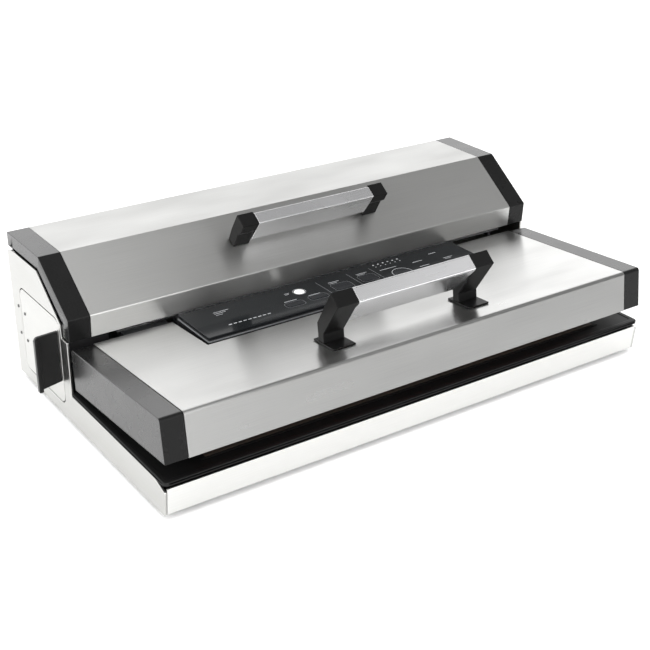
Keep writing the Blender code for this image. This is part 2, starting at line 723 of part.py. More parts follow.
def seal_bar():
    """Heater bar in the tray, with its flat heating strip under tape."""
    half = BAR_WIDTH / 2
    top = TRAY_TOP + BAR_PROUD
    bar = box("heater_bar", -half, half, BAR_FWD - BAR_DEPTH / 2, BAR_FWD + BAR_DEPTH / 2,
              TRAY_TOP - BAR_SUNK + GAP, top)
    finish(bar, BLACK_PLASTIC, FRAME)
    end = half - STRIP_SHORT
    strip = box("heating_strip", -end, end, BAR_FWD - STRIP_DEPTH / 2,
                BAR_FWD + STRIP_DEPTH / 2, top + GAP, top + 2 * GAP)
    finish(strip, TAPE, FRAME)


def roll_trough():
    """Round-bottomed moulding that holds the bag roll, open at the top."""
    floor = TROUGH_FLOOR
    rise, front, back = TROUGH_SLOPES
    profile = [
        (TROUGH_FRONT, TROUGH_FRONT_RIM),
        (TROUGH_FRONT, floor + rise),
        (TROUGH_FRONT - front, floor),
        (TROUGH_BACK + back, floor),
        (TROUGH_BACK, floor + back),
        (TROUGH_BACK, TROUGH_RIM),
    ]
    ring = band(profile, MOULD)
    ob = extruded("roll_trough", [ring], SIDE_VIEW, TROUGH_LEFT, TROUGH_RIGHT)
    out = MOULD / 2
    wall = [
        (TROUGH_BACK - out, floor - out),
        (TROUGH_FRONT + out, floor - out),
        (TROUGH_FRONT + out, TROUGH_FRONT_RIM - TROUGH_END_DROP),
        (TROUGH_FRONT - TROUGH_WALL_BACK, REAR_TOP - TROUGH_WALL_DROP),
        (TROUGH_BACK - out, TROUGH_RIM - TROUGH_END_DROP),
    ]
    for x0, x1 in ((TROUGH_LEFT - MOULD, TROUGH_LEFT + TROUGH_END_LAP),
                   (TROUGH_RIGHT - TROUGH_END_LAP, TROUGH_RIGHT + MOULD)):
        cut(ob, extruded("trough_end", [wall], SIDE_VIEW, x0, x1), "UNION")
    return finish(ob, BLACK_PLASTIC, FRAME)


def cutter():
    """Rail in front of the roll with the sliding bag cutter on it."""
    up = RAIL_UP
    back = TROUGH_FRONT - RAIL_LAP
    plate = up + RAIL_THICKNESS
    ridge = up + RAIL_HEIGHT
    ridge_back, ridge_front = RAIL_KEY
    rail = [
        (back, up),
        (back + RAIL_DEPTH, up),
        (back + RAIL_DEPTH, plate),
        (back + ridge_front, plate),
        (back + ridge_front, ridge),
        (back + ridge_back, ridge),
        (back + ridge_back, plate),
        (back, plate),
    ]
    ob = extruded("cutter_rail", [rail], SIDE_VIEW, TROUGH_LEFT + RAIL_SHORT,
                  TROUGH_RIGHT - RAIL_SHORT)
    finish(ob, ALUMINIUM, FRAME)
    middle = back + RAIL_DEPTH / 2
    slider_x = TROUGH_LEFT + SLIDER_START
    low = plate + GAP
    slot = SLIDER_SLOT / 2
    half = SLIDER_DEPTH / 2
    top = up + SLIDER_HEIGHT
    chamfer, drop = SLIDER_ROUND
    slider = extruded("cutter_slider", [[
        (middle - half, low),
        (middle - slot, low),
        (middle - slot, ridge + GAP),
        (middle + slot, ridge + GAP),
        (middle + slot, low),
        (middle + half, low),
        (middle + half, top - drop),
        (middle + half - chamfer, top),
        (middle - half + chamfer, top),
        (middle - half, top - drop),
    ]], SIDE_VIEW, slider_x - SLIDER_HALF, slider_x + SLIDER_HALF)
    carriage = body_empty("cutter_axis", middle, up, x=slider_x)
    finish(slider, GLOSS_BLACK, carriage)
    blade_front = middle - half - GAP
    blade = box("cutter_blade", slider_x - BLADE_HALF, slider_x + BLADE_HALF,
                blade_front - BLADE_THICKNESS, blade_front, up + BLADE_UP[0], up + BLADE_UP[1])
    finish(blade, STEEL, carriage)


def control_housing():
    """Black housing between the lid's legs, open underneath."""
    half = POD_WIDTH / 2
    ob = box("control_housing", -half, half, POD_BACK, POD_FRONT, TRAY_TOP + GAP, HOUSING_TOP)
    soften(ob, POD_EDGE, 2)
    room = box("housing_room", -half + MOULD, half - MOULD, POD_BACK + MOULD,
               POD_FRONT - MOULD, TRAY_TOP - CUT_PAST, HOUSING_TOP - MOULD)
    cut(ob, room)
    for key in KEYS:
        cut(ob, key_solid("key_well", key, HOUSING_TOP - MOULD - WELL_PAST,
                          HOUSING_TOP + WELL_PAST, KEY_SLIT))
    return finish(ob, BLACK_PLASTIC, FRAME)


def panel_overlay():
    """Glossy front plate with an opening for each key."""
    half = POD_WIDTH / 2 - PANEL_INSET
    outline = rounded(box_ring(-half, half, POD_BACK, POD_FRONT - PANEL_SET_BACK), POD_EDGE)
    rings = [outline] + [key_outline(key, GAP) for key in KEYS]
    ob = extruded("panel_overlay", rings, PLAN_VIEW, POD_TOP - PANEL_THICKNESS, POD_TOP)
    return finish(ob, GLOSS_BLACK, FRAME)


def key_outline(name, grow):
    """Plan outline of one key, grown by a clearance."""
    x, ahead, shape = KEYS[name]
    fwd = POD_BACK + ahead
    if isinstance(shape, tuple):
        w = shape[0] / 2 + grow
        d = shape[1] / 2 + grow
        return rounded(box_ring(x - w, x + w, fwd - d, fwd + d), KEY_ROUND + grow)
    return circle(x, fwd, shape + grow)


def key_solid(name, key, low, high, grow=0.0):
    """One key, or its well, between two heights."""
    return extruded(name, [key_outline(key, grow)], PLAN_VIEW, low, high)


def keys():
    """Sprung keys, each flush in its opening and riding on its own body."""
    low = POD_TOP - PANEL_THICKNESS - KEY_STEM
    for name, (x, ahead, _) in KEYS.items():
        empty = body_empty(name + "_axis", POD_BACK + ahead, low, x=x)
        look = WHITE if name == "start_key" else GLOSS_BLACK
        finish(key_solid(name, name, low, POD_TOP + KEY_PROUD), look, empty)


def electronics():
    """Boards, transformer, pumps and valve inside the housing and the base."""
    board_top = POD_TOP - PANEL_THICKNESS - KEY_STEM - 2 * KEY_TRAVEL_ROOM
    board_half = POD_WIDTH / 2 - BOARD_SIDE_GAP
    finish(box("control_board", -board_half, board_half, POD_BACK + BOARD_END_GAP,
               POD_FRONT - BOARD_END_GAP, board_top - BOARD_THICKNESS, board_top),
           BOARD_GREEN, FRAME)
    floor = SHEET + GAP
    left, right, height = TRANSFORMER
    power = floor + POWER_BOARD_LIFT
    finish(box("power_board", right + POWER_BOARD_GAPS[0], VALVE_LEFT - POWER_BOARD_GAPS[1],
               POWER_BOARD_BACK, STEP_FWD - POWER_BOARD_FRONT, power, power + BOARD_THICKNESS),
           BOARD_GREEN, FRAME)
    core = box("transformer", left, right, TRANSFORMER_BACK, STEP_FWD - TRANSFORMER_FRONT,
               floor, floor + height)
    finish(soften(core, CORE_EDGE, 1), COPPER, FRAME)
    head_back = PUMP_FRONT - PUMP_DEPTH
    motor_front = head_back + MOTOR_LAP
    for name, x in (("left", PUMP_LEFT), ("right", PUMP_LEFT + PUMP_PITCH)):
        pump = box("vacuum_pump_" + name, x - PUMP_WIDTH / 2, x + PUMP_WIDTH / 2, head_back,
                   PUMP_FRONT, PUMP_FOOT, TROUGH_FLOOR - PUMP_UNDER_TROUGH)
        motor = cylinder("pump_motor", "Y", (x, (MOTOR_BACK + motor_front) / 2, MOTOR_UP),
                         MOTOR_RADIUS, motor_front - MOTOR_BACK)
        cut(pump, motor, "UNION")
        finish(pump, STEEL, FRAME)
    finish(box("release_valve", VALVE_LEFT, VALVE_LEFT + VALVE_WIDTH, STEP_FWD - VALVE_BACK,
               STEP_FWD - VALVE_FRONT, floor, VALVE_TOP), WHITE, FRAME)


def vacuum_hose():
    """Clear hose from the left pump's head to the release valve."""
    run = STEP_FWD - HOSE_BEHIND
    route = [
        (PUMP_LEFT + 0.024, run - 0.0020, 0.0300), (PUMP_LEFT + 0.040, run - 0.0005, 0.0200),
        (-0.060, run, 0.0150), (0.000, run, 0.0150), (0.060, run, 0.0150),
        (VALVE_LEFT - 0.050, run, 0.0160), (VALVE_LEFT - 0.010, run - 0.0010, 0.0180),
        (VALVE_LEFT + 0.010, run - 0.0070, 0.0190), (VALVE_LEFT + 0.013, run - 0.0170, 0.0190),
    ]
    curve = bpy.data.curves.new("vacuum_hose", "CURVE")
    curve.dimensions = "3D"
    curve.bevel_depth = HOSE_RADIUS
    curve.bevel_resolution = 2
    curve.use_fill_caps = True
    spline = curve.splines.new("POLY")
    spline.points.add(len(route) - 1)
    for point, (x, fwd, up) in zip(spline.points, route):
        point.co = (x, BACK_Y - fwd, FOOT_HEIGHT + up, 1.0)
    return finish(meshed("vacuum_hose", curve, Matrix.Identity(4)), HOSE, FRAME)


def mains_inlet():
    """Appliance inlet in the back wall: a recess with three flat pins."""
    right = PLATE_INNER - INLET_SIDE
    left = right - INLET_WIDTH
    top = INLET_FOOT + INLET_HEIGHT
    ob = box("mains_inlet", left + GAP, right - GAP, INLET_PROUD, INLET_DEPTH,
             INLET_FOOT + GAP, top - GAP)
    recess = box("inlet_recess", left + INLET_WALL, right - INLET_WALL, -CUT_PAST,
                 INLET_DEPTH - INLET_FLOOR, INLET_FOOT + INLET_WALL, top - INLET_WALL)
    cut(ob, recess)
    middle = (left + right) / 2
    low = (INLET_FOOT + top) / 2 + PIN_LOW
    for x, up in ((middle, low + PIN_RISE), (middle - PIN_APART, low), (middle + PIN_APART, low)):
        pin = box("inlet_pin", x - PIN_HALF[0], x + PIN_HALF[0], PIN_TIP,
                  INLET_DEPTH - INLET_FLOOR / 2, up - PIN_HALF[1], up + PIN_HALF[1])
        cut(ob, pin, "UNION")
    return finish(ob, BLACK_PLASTIC, FRAME)


def door_outline(grow):
    """Rounded outline of the side door, grown or shrunk."""
    return rounded(box_ring(DOOR_BACK - grow, DOOR_FRONT + grow, DOOR_FOOT - grow,
                            DOOR_TOP + grow), DOOR_RADIUS + grow)


def cord_store():
    """Box behind the side door, open to the left."""
    outer = -PLATE_INNER + GAP
    ob = extruded("cord_store", [door_outline(STORE_LAP + STORE_WALL)], SIDE_VIEW, outer,
                  STORE_INNER)
    room = extruded("store_room", [door_outline(STORE_LAP)], SIDE_VIEW, outer - CUT_PAST,
                    STORE_INNER - STORE_BACK)
    cut(ob, room)
    return finish(ob, BLACK_PLASTIC, FRAME)


def side_door():
    """Flush door with its upright grip; it turns about its back edge."""
    outer = -BODY_WIDTH / 2
    axis = body_empty("side_door_axis", DOOR_BACK + DOOR_HINGE_IN, 0.0,
                      x=outer + DOOR_HINGE_SIDE)
    door = extruded("side_door", [door_outline(-DOOR_SLIT)], SIDE_VIEW, outer,
                    outer + SIDE_PLATE - DOOR_THIN)
    finish(door, PALE_STEEL, axis)
    fwd = DOOR_FRONT - GRIP_IN
    top = DOOR_TOP - GRIP_TOP
    foot = DOOR_FOOT + GRIP_FOOT
    tip = outer - GRIP_REACH
    plate = rounded([(outer - GAP, top), (outer - GAP, foot), (tip, foot - GRIP_SLANT[0]),
                     (tip, top - GRIP_SLANT[1])], GRIP_ROUND, corners={2, 3})
    grip = extruded("side_door_grip", [plate], FRONT_VIEW, fwd - GRIP_THICKNESS / 2,
                    fwd + GRIP_THICKNESS / 2)
    bead = box("grip_bead", tip - BEAD_PROUD, tip + BEAD_WIDTH, fwd - BEAD_THICKNESS / 2,
               fwd + BEAD_THICKNESS / 2, foot - BEAD_DROP[0], top - BEAD_DROP[1])
    cut(grip, bead, "UNION")
    finish(grip, BLACK_PLASTIC, axis)


def rear_hinges():
    """Brackets on the back wall and the pins on which the rear lid turns."""
    fwd = REAR_HINGE_FWD
    up = REAR_HINGE_UP
    radius = REAR_PIN_RADIUS + EAR_WALL
    foot = up - REAR_EAR_HEIGHT
    back = fwd - EAR_BACK
    ear = COVER_HALF - REAR_EAR_INSET
    pin_start = ear - PIN_TAIL
    pin_end = LID_WIDTH / 2 - REAR_PIN_STOP
    ring = ear_arc(fwd, up, radius, 0, 181)
    ring += [(back, up - EAR_NECK), (back, foot), (fwd + radius, foot)]
    for side, name in ((-1, "left"), (1, "right")):
        low, high = sorted((side * ear, side * (ear + REAR_EAR)))
        bracket = extruded("rear_hinge_bracket_" + name,
                           [ring, circle(fwd, up, REAR_PIN_RADIUS + BORE_SLACK)],
                           SIDE_VIEW, low, high)
        finish(bracket, STEEL, FRAME)
        pin = cylinder("rear_hinge_pin_" + name, "X",
                       (side * (pin_start + pin_end) / 2, fwd, up), REAR_PIN_RADIUS,
                       pin_end - pin_start)
        finish(pin, STEEL, FRAME)


def front_hinges():
    """Two-eared brackets and pins on which the front lid turns."""
    fwd = LID_HINGE_FWD
    up = LID_HINGE_UP
    back = STEP_FWD - BRACKET_BACK
    front = back + BRACKET_LEAF
    foot = TRAY_TOP + BRACKET_LIFT
    ring = ear_arc(fwd, up, LID_PIN_RADIUS + EAR_WALL, -60, 161)
    ring += [(fwd - NECK_BACK, up - EAR_NECK), (back, up - EAR_NECK), (back, foot),
             (front, foot), (front, up - NECK_DROP)]
    bore = circle(fwd, up, LID_PIN_RADIUS + BORE_SLACK)
    for side, name in ((-1, "left"), (1, "right")):
        low, high = sorted((side * HINGE_INNER, side * HINGE_OUTER))
        bracket = extruded("front_hinge_bracket_" + name, [ring, bore], SIDE_VIEW, low, high)
        middle = box("hinge_window", low + HINGE_EAR, high - HINGE_EAR, front,
                     fwd + CUT_PAST, TRAY_TOP, up + CUT_PAST)
        cut(bracket, middle)
        finish(bracket, STEEL, FRAME)
        pin = cylinder("front_hinge_pin_" + name, "X",
                       (side * (HINGE_INNER + HINGE_OUTER) / 2, fwd, up),
                       LID_PIN_RADIUS, HINGE_OUTER - HINGE_INNER + 2 * PIN_PROUD)
        finish(pin, STEEL, FRAME)


# ---------------------------------------------------------------- front lid
def lid_outline(with_back):
    """Front lid's outside, drawn shut, from its back over the top to its foot."""
    corners = [(LID_BACK, LID_TOP), (LID_FRONT_TOP, LID_TOP), (LID_FRONT_FOOT, LID_FOOT)]
    if with_back:
        return rounded([(LID_BACK, LID_FOOT)] + corners, LID_EDGE_RADIUS, corners={1, 2})
    return rounded(corners, LID_EDGE_RADIUS, corners={1})


def front_lid_cover(axis):
    """Folded steel cover, cut out round the control housing."""
    cover = extruded("front_lid_cover", [band(lid_outline(False), SHEET)], SIDE_VIEW,
                     -COVER_HALF, COVER_HALF)
    cut(cover, box("cover_notch", -NOTCH_HALF, NOTCH_HALF, LID_BACK - CUT_PAST, NOTCH_FRONT,
                   LID_TOP - CUT_PAST, LID_TOP + CUT_PAST))
    finish(cover, STEEL, axis)


def cap_limits(side, inner, outer):
    """Lower and higher x between two distances from a cap's inner and outer face."""
    return sorted((side * (LID_WIDTH / 2 - CAP_WIDTH + inner), side * (LID_WIDTH / 2 - outer)))


def front_lid_caps(axis):
    """Moulded end caps, each hollow and open towards the cover."""
    for side, name in ((-1, "left"), (1, "right")):
        low, high = cap_limits(side, 0.0, 0.0)
        cap = extruded("front_lid_cap_" + name, [lid_outline(True)], SIDE_VIEW, low, high)
        low, high = cap_limits(side, -CUT_PAST, MOULD)
        cut(cap, box("cap_room", low, high, LID_BACK + MOULD, LID_FRONT_TOP - MOULD,
                     LID_FOOT + MOULD, LID_TOP - MOULD))
        finish(cap, BLACK_PLASTIC, axis)


def front_lid_liner(axis):
    """Moulding inside the front lid, with the recess over the chamber."""
    half = COVER_HALF - LINER_SIDE_GAP
    back = LID_BACK + LINER_BACK_GAP
    front = LID_FRONT_FOOT - SHEET - GAP - LINER_FRONT_GAP
    plan = [
        (-half, back), (-NOTCH_HALF, back), (-NOTCH_HALF, NOTCH_FRONT),
        (NOTCH_HALF, NOTCH_FRONT), (NOTCH_HALF, back), (half, back),
        (half, front), (-half, front),
    ]
    recess_top = LID_FOOT + RECESS_HEIGHT
    liner = extruded("front_lid_liner", [plan], PLAN_VIEW, LID_FOOT, LID_FOOT + MOULD)
    reach = CHAMBER_WIDTH / 2
    dome = box("recess_dome", -reach - RECESS_LAP, reach + RECESS_LAP,
               CHAMBER_BACK - RECESS_LAP, CHAMBER_FRONT + RECESS_LAP, LID_FOOT + APRON_LAP,
               recess_top + MOULD)
    cut(liner, dome, "UNION")
    cut(liner, box("recess", -reach + MOULD, reach - MOULD, CHAMBER_BACK + MOULD,
                   CHAMBER_FRONT - MOULD, LID_FOOT - CUT_PAST, recess_top))
    wall_x = NOTCH_HALF + MOULD
    apron = box("notch_apron", -wall_x, wall_x, NOTCH_FRONT - APRON_BACK, NOTCH_FRONT + MOULD,
                LID_FOOT + APRON_LAP, LID_ROOF)
    cut(liner, apron, "UNION")
    cut(liner, box("notch_room", -NOTCH_HALF, NOTCH_HALF, NOTCH_FRONT - APRON_BACK - CUT_PAST,
                   NOTCH_FRONT, LID_FOOT - CUT_PAST, LID_TOP + CUT_PAST))
    finish(liner, BLACK_PLASTIC, axis)


def front_lid_seals(axis):
    """Foam ring and silicone strip under the front lid's liner."""
    top = LID_FOOT - GAP
    gasket = extruded("upper_gasket", gasket_rings(), PLAN_VIEW, top - UPPER_GASKET, top)
    finish(gasket, FOAM, axis)
    strip = box("pressure_strip", -BAR_WIDTH / 2, BAR_WIDTH / 2, BAR_FWD - PRESSURE_DEPTH / 2,
                BAR_FWD + PRESSURE_DEPTH / 2, top - PRESSURE_HEIGHT, top)
    finish(soften(strip, PRESSURE_EDGE, 1), SILICONE, axis)


def front_knuckles(axis):
    """Blocks under the cover that turn on the front pins."""
    fwd = LID_HINGE_FWD
    up = LID_HINGE_UP
    ring = ear_arc(fwd, up, LID_PIN_RADIUS + KNUCKLE_WALL, 170, 301)
    ring += [(fwd + KNUCKLE_DEPTH, up - KNUCKLE_DROP), (fwd + KNUCKLE_DEPTH, LID_ROOF),
             (fwd - KNUCKLE_BACK, LID_ROOF)]
    bore = circle(fwd, up, LID_PIN_RADIUS + BORE_SLACK)
    for side, name in ((-1, "left"), (1, "right")):
        low, high = sorted((side * (HINGE_INNER + KNUCKLE_INSET),
                            side * (HINGE_OUTER - KNUCKLE_INSET)))
        block = extruded("front_lid_knuckle_" + name, [ring, bore], SIDE_VIEW, low, high)
        finish(block, STEEL, axis)


# Side outlines of the front handle: (distance behind the lid's front edge, height over it)
FRONT_BRACKET = [
    (0.0426, 0.0), (0.0438, 0.0165), (0.0231, 0.0480), (0.0133, 0.0385),
    (0.0353, 0.0085), (0.0348, 0.0),
]
FRONT_GRIP = [
    (0.0226, 0.0485), (0.0124, 0.0388), (0.0140, 0.0362), (0.0403, 0.0110),
    (0.0424, 0.0155),
]


def front_handle(axis):
    """Flanged brackets and the folded aluminium grip of the front lid."""
    foot = LID_TOP + GAP
    base = foot + FLANGE_THICKNESS / 2
    for side, name in ((-1, "left"), (1, "right")):
        low, high = sorted((side * BRACKET_INNER, side * (BRACKET_INNER + BRACKET_WIDTH)))
        ring = [(LID_FRONT_TOP - behind, base + up) for behind, up in FRONT_BRACKET]
        bracket = extruded("front_bracket_" + name, [ring], SIDE_VIEW, low, high)
        soften(bracket, BRACKET_EDGE, 2)
        flange = box("bracket_flange", low - FLANGE_SIDE, high + FLANGE_SIDE,
                     LID_FRONT_TOP - FLANGE_BACK, LID_FRONT_TOP - FLANGE_FRONT, foot,
                     foot + FLANGE_THICKNESS)
        cut(bracket, flange, "UNION")
        finish(bracket, BLACK_PLASTIC, axis)
    ring = rounded([(LID_FRONT_TOP - behind, base + up) for behind, up in FRONT_GRIP],
                   FRONT_GRIP_ROUND)
    grip = extruded("front_grip", [ring], SIDE_VIEW, -BRACKET_INNER + GAP,
                    BRACKET_INNER - GAP)
    finish(grip, ALUMINIUM, axis)


# ---------------------------------------------------------------- rear lid
def rear_lid_cover(axis):
    """Folded steel cover with a notch for each hinge bracket."""
    cover = extruded("rear_lid_cover", [band(rear_profile(), SHEET)], SIDE_VIEW,
                     -COVER_HALF, COVER_HALF)
    ear = COVER_HALF - REAR_EAR_INSET
    for side in (-1, 1):
        low, high = sorted((side * (ear - NOTCH_SLACK), side * (ear + REAR_EAR + NOTCH_SLACK)))
        cut(cover, box("hinge_notch", low, high, -CUT_PAST, NOTCH_DEPTH,
                       REAR_TOP - NOTCH_FOOT, REAR_TOP - NOTCH_TOP))
    finish(cover, STEEL, axis)


def rear_lid_caps(axis):
    """End caps: a thin skin with a deep side skirt, and a boss on the hinge pin."""
    for side, name in ((-1, "left"), (1, "right")):
        low, high = cap_limits(side, 0.0, 0.0)
        cap = extruded("rear_lid_cap_" + name, [band(rear_profile(), SKIRT)], SIDE_VIEW,
                       low, high)
        low, high = cap_limits(side, -CUT_PAST, MOULD)
        groove = band(stretched(rear_profile(MOULD), CUT_PAST), SKIRT + GROOVE_PAST)
        cut(cap, extruded("cap_groove", [groove], SIDE_VIEW, low, high))
        low, high = cap_limits(side, BOSS_IN, MOULD - BOSS_LAP)
        boss = box("hinge_boss", low, high, *BOSS_DEPTH, REAR_TOP - BOSS_DROP[0],
                   REAR_TOP - BOSS_DROP[1])
        cut(cap, boss, "UNION")
        low, high = cap_limits(side, -BORE_IN, REAR_PIN_STOP - BORE_PAST)
        bore = cylinder("hinge_bore", "X", ((low + high) / 2, REAR_HINGE_FWD, REAR_HINGE_UP),
                        REAR_PIN_RADIUS + BORE_SLACK, high - low)
        cut(cap, bore)
        finish(cap, BLACK_PLASTIC, axis)


def rear_lid_liner(axis):
    """Thin moulding under the rear lid's steel cover."""
    profile = rear_profile(SHEET + GAP)
    inner = [(LINER_BACK, profile[1][1]), profile[2], profile[3],
             (profile[3][0] - LINER_LEAN, LIP_BOTTOM + LINER_LIFT)]
    end = COVER_HALF - LINER_SHORT
    liner = extruded("rear_lid_liner", [band(inner, REAR_LINER)], SIDE_VIEW, -end, end)
    finish(liner, BLACK_PLASTIC, axis)


def slope_point(along, out):
    """Point on the rear lid's slope: distance down it, and height square off it."""
    across = SLOPE_RUN / SLOPE_LENGTH
    down = SLOPE_FALL / SLOPE_LENGTH
    return (REAR_FLAT + across * along + down * out, REAR_TOP - down * along + across * out)


# Rear bracket's side outline on the slope: (distance down it, height off it)
REAR_BRACKET = [
    (0.0245, 0.0), (0.0225, 0.0120), (0.0215, 0.0305), (0.0350, 0.0305),
    (0.0355, 0.0215), (0.0330, 0.0160), (0.0345, 0.0),
]
REAR_GRIP = [
    (0.0218, 0.0311), (0.0353, 0.0311), (0.0350, 0.0290), (0.0345, 0.0050),
    (0.0320, 0.0055), (0.0260, 0.0270),
]


def rear_handle(axis):
    """Brackets and folded aluminium grip of the rear lid."""
    for side, name in ((-1, "left"), (1, "right")):
        low, high = sorted((side * REAR_BRACKET_INNER,
                            side * (REAR_BRACKET_INNER + REAR_BRACKET_WIDTH)))
        ring = [slope_point(along, GAP + out) for along, out in REAR_BRACKET]
        bracket = extruded("rear_bracket_" + name, [ring], SIDE_VIEW, low, high)
        finish(soften(bracket, BRACKET_EDGE, 2), BLACK_PLASTIC, axis)
    ring = rounded([slope_point(along, GAP + out) for along, out in REAR_GRIP], REAR_GRIP_ROUND)
    grip = extruded("rear_grip", [ring], SIDE_VIEW, -REAR_BRACKET_INNER + GAP,
                    REAR_BRACKET_INNER - GAP)
    finish(grip, ALUMINIUM, axis)


# ---------------------------------------------------------------- assembly
clear_scene()
CUTS = []
FRAME = bpy.data.objects.new("sealer_frame", None)
collection(PARTS).objects.link(FRAME)
FRAME.location = (SHIFT_X, 0.0, 0.0)

base_pan()
side_plates()
feet()
chamber_tray()
lower_gasket()
seal_bar()
roll_trough()
cutter()
control_housing()
panel_overlay()
keys()
electronics()
vacuum_hose()
mains_inlet()
cord_store()
side_door()
rear_hinges()
front_hinges()

LID_AXIS = body_empty("front_lid_axis", LID_HINGE_FWD, LID_HINGE_UP, turn=LID_AJAR)
front_lid_cover(LID_AXIS)
front_lid_caps(LID_AXIS)
front_lid_liner(LID_AXIS)
front_lid_seals(LID_AXIS)
front_knuckles(LID_AXIS)
front_handle(LID_AXIS)

REAR_AXIS = body_empty("rear_lid_axis", REAR_HINGE_FWD, REAR_HINGE_UP)
rear_lid_cover(REAR_AXIS)
rear_lid_caps(REAR_AXIS)
rear_lid_liner(REAR_AXIS)
rear_handle(REAR_AXIS)
place_cutters()
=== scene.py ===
"""Vacuum sealer with two lids, dressed around its fixed frame of solids.

Lengths are metres. Sections are drawn in "fwd", the distance forward from the machine's
back edge, and "up", the height over the underside of its steel base. Machine turns them
into the frame's own coordinates.
"""

from __future__ import annotations

import logging
import math
from dataclasses import dataclass, field
from enum import Enum
from functools import partial, reduce
from typing import Sequence

import bmesh
import bpy
import numpy as np
from mathutils import Matrix, Vector
from mathutils.geometry import tessellate_polygon

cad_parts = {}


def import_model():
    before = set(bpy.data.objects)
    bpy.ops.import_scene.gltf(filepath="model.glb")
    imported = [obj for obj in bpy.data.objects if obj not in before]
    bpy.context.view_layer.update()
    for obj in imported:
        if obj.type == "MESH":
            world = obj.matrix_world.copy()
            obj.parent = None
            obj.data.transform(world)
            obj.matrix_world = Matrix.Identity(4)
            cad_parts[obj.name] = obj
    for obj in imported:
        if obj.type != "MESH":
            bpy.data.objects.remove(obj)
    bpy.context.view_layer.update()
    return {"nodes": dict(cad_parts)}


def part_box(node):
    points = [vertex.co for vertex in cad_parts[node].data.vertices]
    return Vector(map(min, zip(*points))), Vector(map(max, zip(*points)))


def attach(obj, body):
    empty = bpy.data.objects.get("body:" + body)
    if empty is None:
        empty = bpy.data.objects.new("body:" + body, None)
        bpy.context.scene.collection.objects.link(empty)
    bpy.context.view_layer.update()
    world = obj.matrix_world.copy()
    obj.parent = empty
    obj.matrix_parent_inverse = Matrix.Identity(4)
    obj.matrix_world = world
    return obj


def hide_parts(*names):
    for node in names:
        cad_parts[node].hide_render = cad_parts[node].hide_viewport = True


LOG = logging.getLogger("sealer")
GRAIN_MAP = "Grain"
SIDES = ((-1, "left"), (1, "right"))
GAP = 0.0003                            # between pieces that are fitted together
SUPPORT = 0.0003                        # from a rounded edge to the row that keeps it tight
SHARP = math.radians(32)                # a fold steeper than this isn't smoothed
SHEET = 0.0012                          # thickness of the steel
MOULD = 0.0026                          # wall of the mouldings
MERGE = 1e-6                            # points closer than this are one
CROWDING = 0.46                         # share of a side that a corner's arc may take
STEEPEST_MITER = 0.3                    # least that a miter divides by, at a sharp corner
NOISE_ENDS = (0.3, 0.7)                 # what noise mostly stays between
TURN_TO_FRONT = (-0.15, -0.50)          # y of the normal as a face turns to the front
BRUSH_LINES = (14.0, 2600.0, 2600.0)    # cells in a metre, as in the four below
BRUSH_CLOUD = (9.0, 26.0, 26.0)
MOULDING_CLOUD = (38.0, 38.0, 38.0)
GLASS_RIPPLE = (22.0, 22.0, 22.0)
GLASS_DUST = (900.0, 900.0, 900.0)
WAVE_SCALE = 0.314                      # length of a wave texture's wave at scale 1
SCREW_DEPTH = 0.42                      # height of a screw's head over its radius
# A screw's head from its foot to its recess: shares of its radius and of its height.
SCREW_HEAD = np.array([
    (0.0, -0.4), (1.0, -0.4), (1.0, 0.35), (0.82, 0.85), (0.52, 1.0), (0.40, 1.0),
    (0.22, 0.45), (0.0, 0.30),
])


class View(Enum):
    """The plane that a flat outline is drawn in."""

    SIDE = "fwd, up"
    PLAN = "x, fwd"
    FRONT = "x, up"


# ------------------------------------------------------------------ outlines
def _unit(vectors: np.ndarray) -> np.ndarray:
    """Rows scaled to length one, with zero rows left as they are."""
    length = np.linalg.norm(vectors, axis=-1, keepdims=True)
    return vectors / np.where(length > 0, length, 1.0)


def fillet(corners: Sequence, radius: float | Sequence[float], steps: int = 4) -> np.ndarray:
    """Closed outline whose corners are arcs, with a support point beside each arc.

    An arc starts where its circle touches both sides, a distance radius / tan(half the
    corner's angle) from the corner, and runs between its two radius vectors by the sine
    rule of spherical interpolation.

    Args:
        corners: the outline's corners, (fwd, up) or another pair.
        radius: one radius for all corners, or one for each; 0 keeps a corner sharp.
        steps: straight steps in one arc.

    Returns:
        The rounded outline, one row a point.
    """
    p = np.asarray(corners, float)
    r = np.broadcast_to(np.asarray(radius, float), len(p))[:, None]
    back = np.roll(p, 1, 0) - p
    fore = np.roll(p, -1, 0) - p
    room = CROWDING * np.minimum(np.linalg.norm(back, axis=1), np.linalg.norm(fore, axis=1))
    back, fore = _unit(back), _unit(fore)
    half = np.arccos(np.clip((back * fore).sum(1, keepdims=True), -1, 1)) / 2
    reach = np.minimum(r / np.tan(half), room[:, None])
    true = reach * np.tan(half)
    centre = p + _unit(back + fore) * true / np.sin(half)
    sweep = (math.pi - 2 * half)[:, None]
    t = np.linspace(0, 1, steps + 1)[None, :, None]
    first = (p + back * reach - centre)[:, None]
    last = (p + fore * reach - centre)[:, None]
    arc = (first * np.sin((1 - t) * sweep) + last * np.sin(t * sweep)) / np.sin(sweep)
    arc = arc + centre[:, None]
    spare = np.minimum(reach + SUPPORT, room[:, None] + SUPPORT) * (r > 0)
    rows = np.concatenate([(p + back * spare)[:, None], arc, (p + fore * spare)[:, None]], 1)
    return tidy(rows.reshape(-1, 2))


def tidy(points: np.ndarray, closest: float = 2e-6) -> np.ndarray:
    """Outline without the points that repeat the one before."""
    step = np.linalg.norm(points - np.roll(points, 1, 0), axis=1)
    return points[step > closest]


